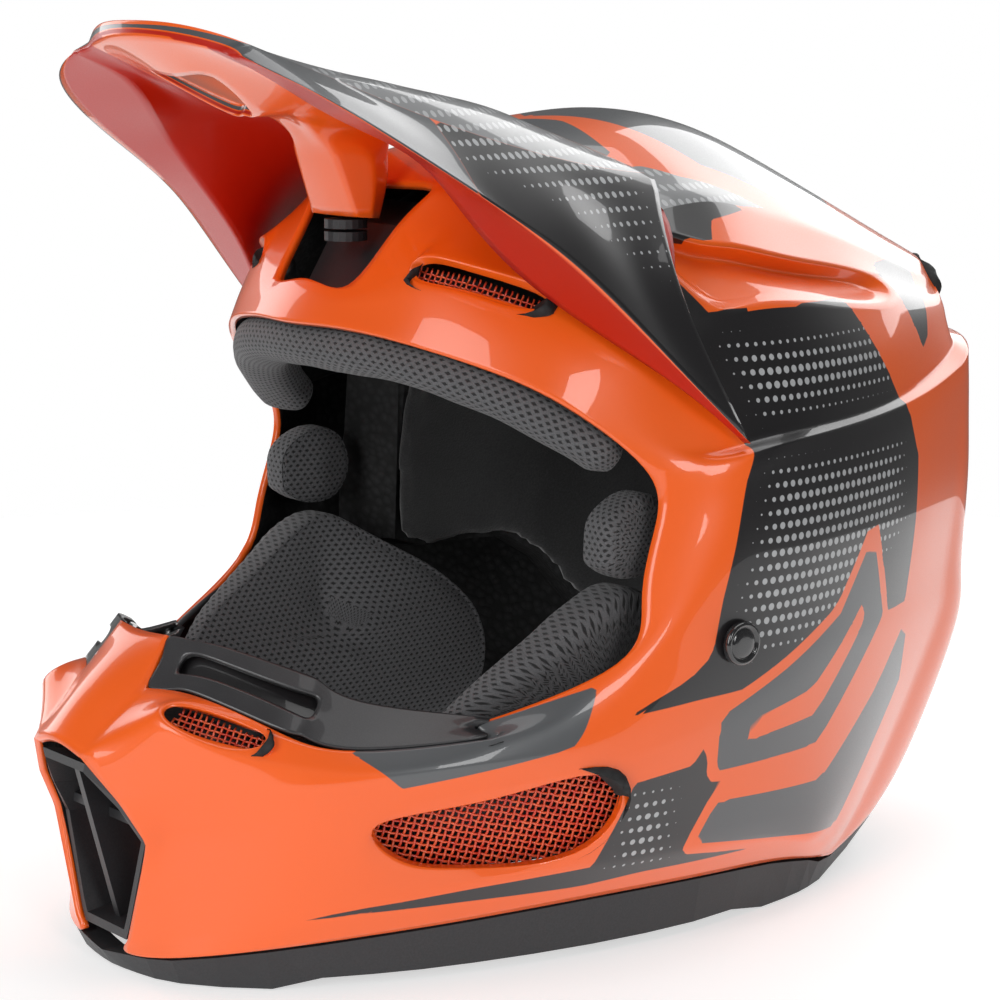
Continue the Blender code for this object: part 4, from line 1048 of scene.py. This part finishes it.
def cushion(name, outline, low, high, crown, material, side):
    """A pad over an outline in Y and Z: its side walls pull in, and its inner face swells towards the
    head."""
    points = smooth_path([(*p, 0) for p in outline] + [(*outline[0], 0)], 4)[:-1]
    x_low = smooth_path([(x, 0, 0) for x in low] + [(low[0], 0, 0)], 4)[:-1]
    x_high = smooth_path([(x, 0, 0) for x in high] + [(high[0], 0, 0)], 4)[:-1]
    middle = sum(points, Vector()) / len(points)
    steps = [(1.0, 0.0), (1.0, 0.45), (1.0, 0.8), (0.995, 0.93), (0.975, 1.0), (0.955, 0.94), (0.93, 0.99),
             (0.8, 1.0), (0.55, 1.0), (0.3, 1.0), (0.12, 1.0)]
    sections = []
    for shrink, depth in steps:
        swell = crown * (1 - shrink) ** 0.7
        loop = []
        for p, inner, outer in zip(points, x_low, x_high):
            y = middle.x + (p.x - middle.x) * shrink
            z = middle.y + (p.y - middle.y) * shrink
            x = outer.x + (inner.x - outer.x) * depth - (swell if depth > 0.9 else 0)
            loop.append((side * x, y, z))
        sections.append(loop)
    obj = swept(name, sections, material)
    planar_uv(obj)
    soft_noise(obj, 14, 0.8)
    return obj


FLAT_ON = 0.55


def planar_uv(obj):
    """The pad's broad faces get a flat map in Y and Z; its side walls keep the one round them."""
    mesh = obj.data
    uv = mesh.uv_layers["UVMap"].data
    for face in mesh.polygons:
        if abs(face.normal.x) > FLAT_ON:
            for k in face.loop_indices:
                co = mesh.vertices[mesh.loops[k].vertex_index].co / MM
                uv[k].uv = (co.y, co.z)


TEMPLE_OUTLINE = [(-48, 128), (-38, 122.5), (-24, 124), (-18, 134), (-22, 146), (-34, 149.5), (-47, 142)]
CHEEK_OUTLINE = [(-100, 78), (-86, 91), (-66, 103), (-49, 114), (-34, 119), (-18, 111), (10, 93),
    (26, 74), (26, 52), (8, 40), (-30, 40), (-62, 43), (-84, 57), (-98, 67)]
CHEEK_LOW = [68, 72, 74, 76, 76, 70, 60, 60, 60, 60, 60, 62, 64, 66]
CHEEK_HIGH = [77, 84, 91, 96, 98, 97, 93, 92, 88, 84, 84, 82, 76, 75]


def pads(material):
    brow_pad(material)
    for side, suffix in ((1, "left"), (-1, "right")):
        temple = cushion("temple_pad_cover_" + suffix, TEMPLE_OUTLINE, [84] * 7, [97] * 7, 2.0, material,
                         side)
        finish_soft(temple, "temple_pad_" + suffix)
        cheek = cushion("cheek_pad_cover_" + suffix, CHEEK_OUTLINE, CHEEK_LOW, CHEEK_HIGH, 5.0, material,
                        side)
        finish_soft(cheek, "cheek_pad_" + suffix, body="cheek_" + suffix)


def crown_liner(material):
    """The quilted crown lining: the solid's shape, softened, with sewn channels from front to back."""
    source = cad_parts["comfort_liner"]
    mesh = source.data.copy()
    obj = link("crown_lining", mesh)
    mesh.materials.clear()
    mesh.materials.append(material)
    remesh = obj.modifiers.new("Remesh", "REMESH")
    remesh.mode = "VOXEL"
    remesh.voxel_size = 0.0035
    relax = obj.modifiers.new("Smooth", "SMOOTH")
    relax.factor = 0.6
    relax.iterations = 6
    applied(obj)
    for v in obj.data.vertices:
        x = v.co.x / MM
        valley = abs((x / LINER_CHANNEL) % 1 - 0.5) * 2
        v.co += v.normal * (0.9 * (1 - valley ** 6) - 0.9) * MM
    obj.data.shade_smooth()
    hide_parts("comfort_liner")
    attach(obj, "shell")


LINER_CHANNEL = 22.0
STRAP_WIDTH = 24.0
STRAP_WALL = 1.8
STRAP_HANG = [(106, -14, 97), (104, -15, 80), (101.5, -18, 58), (97, -22, 42), (91, -27, 33),
    (82, -32, 28), (68, -38, 21), (50, -43, 13.5)]


def webbing(name, route, material, node):
    path = smooth_path(route, 6)
    sections = []
    for i, p in enumerate(path):
        ahead = (path[min(i + 1, len(path) - 1)] - path[max(i - 1, 0)]).normalized()
        side = Vector((0, 1, 0))
        side = (side - ahead * side.dot(ahead)).normalized()
        sections.append(rounded_section(p, STRAP_WIDTH / 2, STRAP_WALL / 2, side, ahead.cross(side), 5.0, 24))
    obj = swept(name, sections, material)
    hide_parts(node)
    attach(obj, "chin_strap")


def straps(material):
    webbing("strap_webbing_left", STRAP_HANG + [(38, -45, 10.5), (28, -46, 9.5), (23.5, -46, 9)], material,
            "strap_left")
    webbing("strap_webbing_right", [mirror(p) for p in STRAP_HANG] + [(-34, -45, 9), (-14, -46, 6.5), (0, -46, 5.5),
            (8, -46, 5.5)], material, "strap_right")
    webbing("strap_webbing_tail", [(8.5, -46, 3.2), (0, -46, 3.0), (-14, -46, 3.6), (-26, -45.5, 5.0)],
            material,
            "strap_tail")


def anchor_caps(material):
    """The round cap over each strap anchor: a raised ring round a shallow dished button."""
    profile = [(7.0, 0.0), (7.0, 1.5), (6.7, 2.1), (6.1, 2.4), (5.5, 2.2), (5.2, 1.6), (4.9, 1.5),
               (4.6, 1.9),
               (4.0, 2.2), (2.4, 2.3), (0.8, 2.35)]
    for side, suffix in ((1, "_left"), (-1, "_right")):
        loops = []
        for radius, height in profile:
            loops.append([(side * (121.7 + height), -15 + radius * math.cos(t), 104 + radius * math.sin(t))
                          for t in (math.tau * k / 48 for k in range(48))])
        obj = swept("strap_cap" + suffix, loops, material)
        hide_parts("strap_anchor_cap" + suffix)
        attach(obj, "shell")


def neck_roll(material):
    route = [(56, 38, 20), (56, 60, 16), (51, 84, 10.5), (45, 107, 7.2), (27, 123, 7.2), (0, 130, 7.6)]
    path = smooth_path(route + [mirror(p) for p in reversed(route[:-1])], 6)
    sections = []
    for i, p in enumerate(path):
        ahead = (path[min(i + 1, len(path) - 1)] - path[max(i - 1, 0)]).normalized()
        inward = Vector((0, 0, 1)).cross(ahead).normalized()
        full = min(1.0, 0.6 + 0.1 * min(i, len(path) - 1 - i))
        sections.append(rounded_section(p, 8.3 * full, 6.7 * full, inward, Vector((0, 0, 1)), 2.2, 16))
    obj = swept("neck_roll_cover", sections, material)
    soft_noise(obj, 12, 0.8)
    finish_soft(obj, "neck_roll")


TABLE_RADIUS = 0.75


def floor():
    mesh = bpy.data.meshes.new("floor")
    rim = [(TABLE_RADIUS * math.cos(t), TABLE_RADIUS * math.sin(t),
            0) for t in (math.tau * k / 96 for k in range(96))]
    mesh.from_pydata(rim, [], [tuple(range(96))])
    f = Finish("pale_floor")
    f.set(base_color=(0.6, 0.6, 0.6), roughness=0.6, emission_color=(1.0, 1.0, 1.0), emission_strength=0.58)
    obj = link("floor", mesh, f.material)
    obj.location.z = -0.0006


def softbox(name, place, target, size, power, colour=(1, 1, 1)):
    light = bpy.data.lights.new(name, "AREA")
    light.shape = "RECTANGLE"
    light.size, light.size_y = size
    light.energy = power
    light.color = colour
    obj = bpy.data.objects.new(name, light)
    bpy.context.scene.collection.objects.link(obj)
    obj.location = place
    obj.rotation_euler = (Vector(target) - Vector(place)).to_track_quat("-Z", "Y").to_euler()


def studio():
    world = bpy.data.worlds.new("studio")
    bpy.context.scene.world = world
    world.use_nodes = True
    nodes, links = world.node_tree.nodes, world.node_tree.links
    seen = nodes["Background"]
    seen.inputs["Color"].default_value = (1, 1, 1, 1)
    seen.inputs["Strength"].default_value = 1.0
    lit = nodes.new("ShaderNodeBackground")
    lit.inputs["Color"].default_value = (1, 1, 1, 1)
    lit.inputs["Strength"].default_value = 0.12
    path = nodes.new("ShaderNodeLightPath")
    mix = nodes.new("ShaderNodeMixShader")
    links.new(path.outputs["Is Camera Ray"], mix.inputs[0])
    links.new(lit.outputs[0], mix.inputs[1])
    links.new(seen.outputs[0], mix.inputs[2])
    links.new(mix.outputs[0], nodes["World Output"].inputs[0])
    softbox("top_box", (0.0, 0.3, 1.6), (0, 0, 0.1), (1.5, 1.5), 14)
    softbox("front_box", (0.5, -1.7, 0.75), (0, 0, 0.13), (0.8, 1.2), 15)
    softbox("side_box", (1.7, -0.55, 0.75), (0, 0, 0.13), (0.35, 0.7), 6)
    softbox("far_box", (-1.6, -0.4, 0.7), (0, 0, 0.15), (0.8, 1.2), 8)
    softbox("back_box", (-0.5, 1.6, 0.9), (0, 0, 0.2), (1.2, 1.0), 10)


def camera():
    """The studio camera: to the wearer's left front, a little above, at 0.975 m."""
    azimuth, elevation, distance = math.radians(51.5), math.radians(10.0), 0.975
    target = metres((0, -14.4, 132.6))
    away = Vector((math.sin(azimuth) * math.cos(elevation), -math.cos(azimuth) * math.cos(elevation),
                   math.sin(elevation)))
    data = bpy.data.cameras.new("camera")
    data.lens = 101.7
    data.sensor_width = 36.0
    data.clip_start = 0.01
    obj = bpy.data.objects.new("camera", data)
    bpy.context.scene.collection.objects.link(obj)
    obj.location = target + away * distance
    obj.rotation_euler = (-away).to_track_quat("-Z", "Y").to_euler()
    bpy.context.scene.camera = obj
    bpy.context.scene.view_settings.view_transform = "Standard"


def build():
    paint = lacquer()
    rubber = moulding("trim_rubber_grain", (0.022, 0.022, 0.024), 0.5)
    satin = moulding("satin_guard", CHARCOAL, 0.36, 2200.0, 0.00004, 0.3)
    plastic = moulding("dark_moulding", (0.02, 0.02, 0.022), 0.42)
    foam = bead_foam()
    cloth = brushed_cloth()
    knit = spacer_mesh()
    strap = webbing_cloth()
    metal = steel()
    wire = wire_lacquer()
    outer_shell(paint, foam)
    peak(paint)
    nose_guard(satin)
    pads(knit)
    neck_roll(cloth)
    crown_liner(cloth)
    straps(strap)
    anchor_caps(moulding("gloss_cap", (0.012, 0.012, 0.013), 0.18, 1500.0, 0.00002, 1.0))
    grilles(wire, plastic)
    both = ("left", "right")
    carried_over([
        (["base_trim"], rubber),
        (["mouth_vent_frame", "forehead_duct"], plastic),
        (["mouth_vent_mesh"], wire),
        (["eps_crown", "eps_chin_left", "eps_chin_right"], foam),
        (["cheek_plate_" + s for s in both] + ["visor_magnet_center", "shell_magnet_center"], plastic),
        (["cheek_snap_%s_%d" % (s, n) for s in both for n in (1, 2)], plastic),
        (["d_ring_inner", "d_ring_outer", "strap_snap_stud"], metal),
        (["strap_anchor_washer_" + s for s in both], metal)])
    floor()
    studio()
    camera()


build()
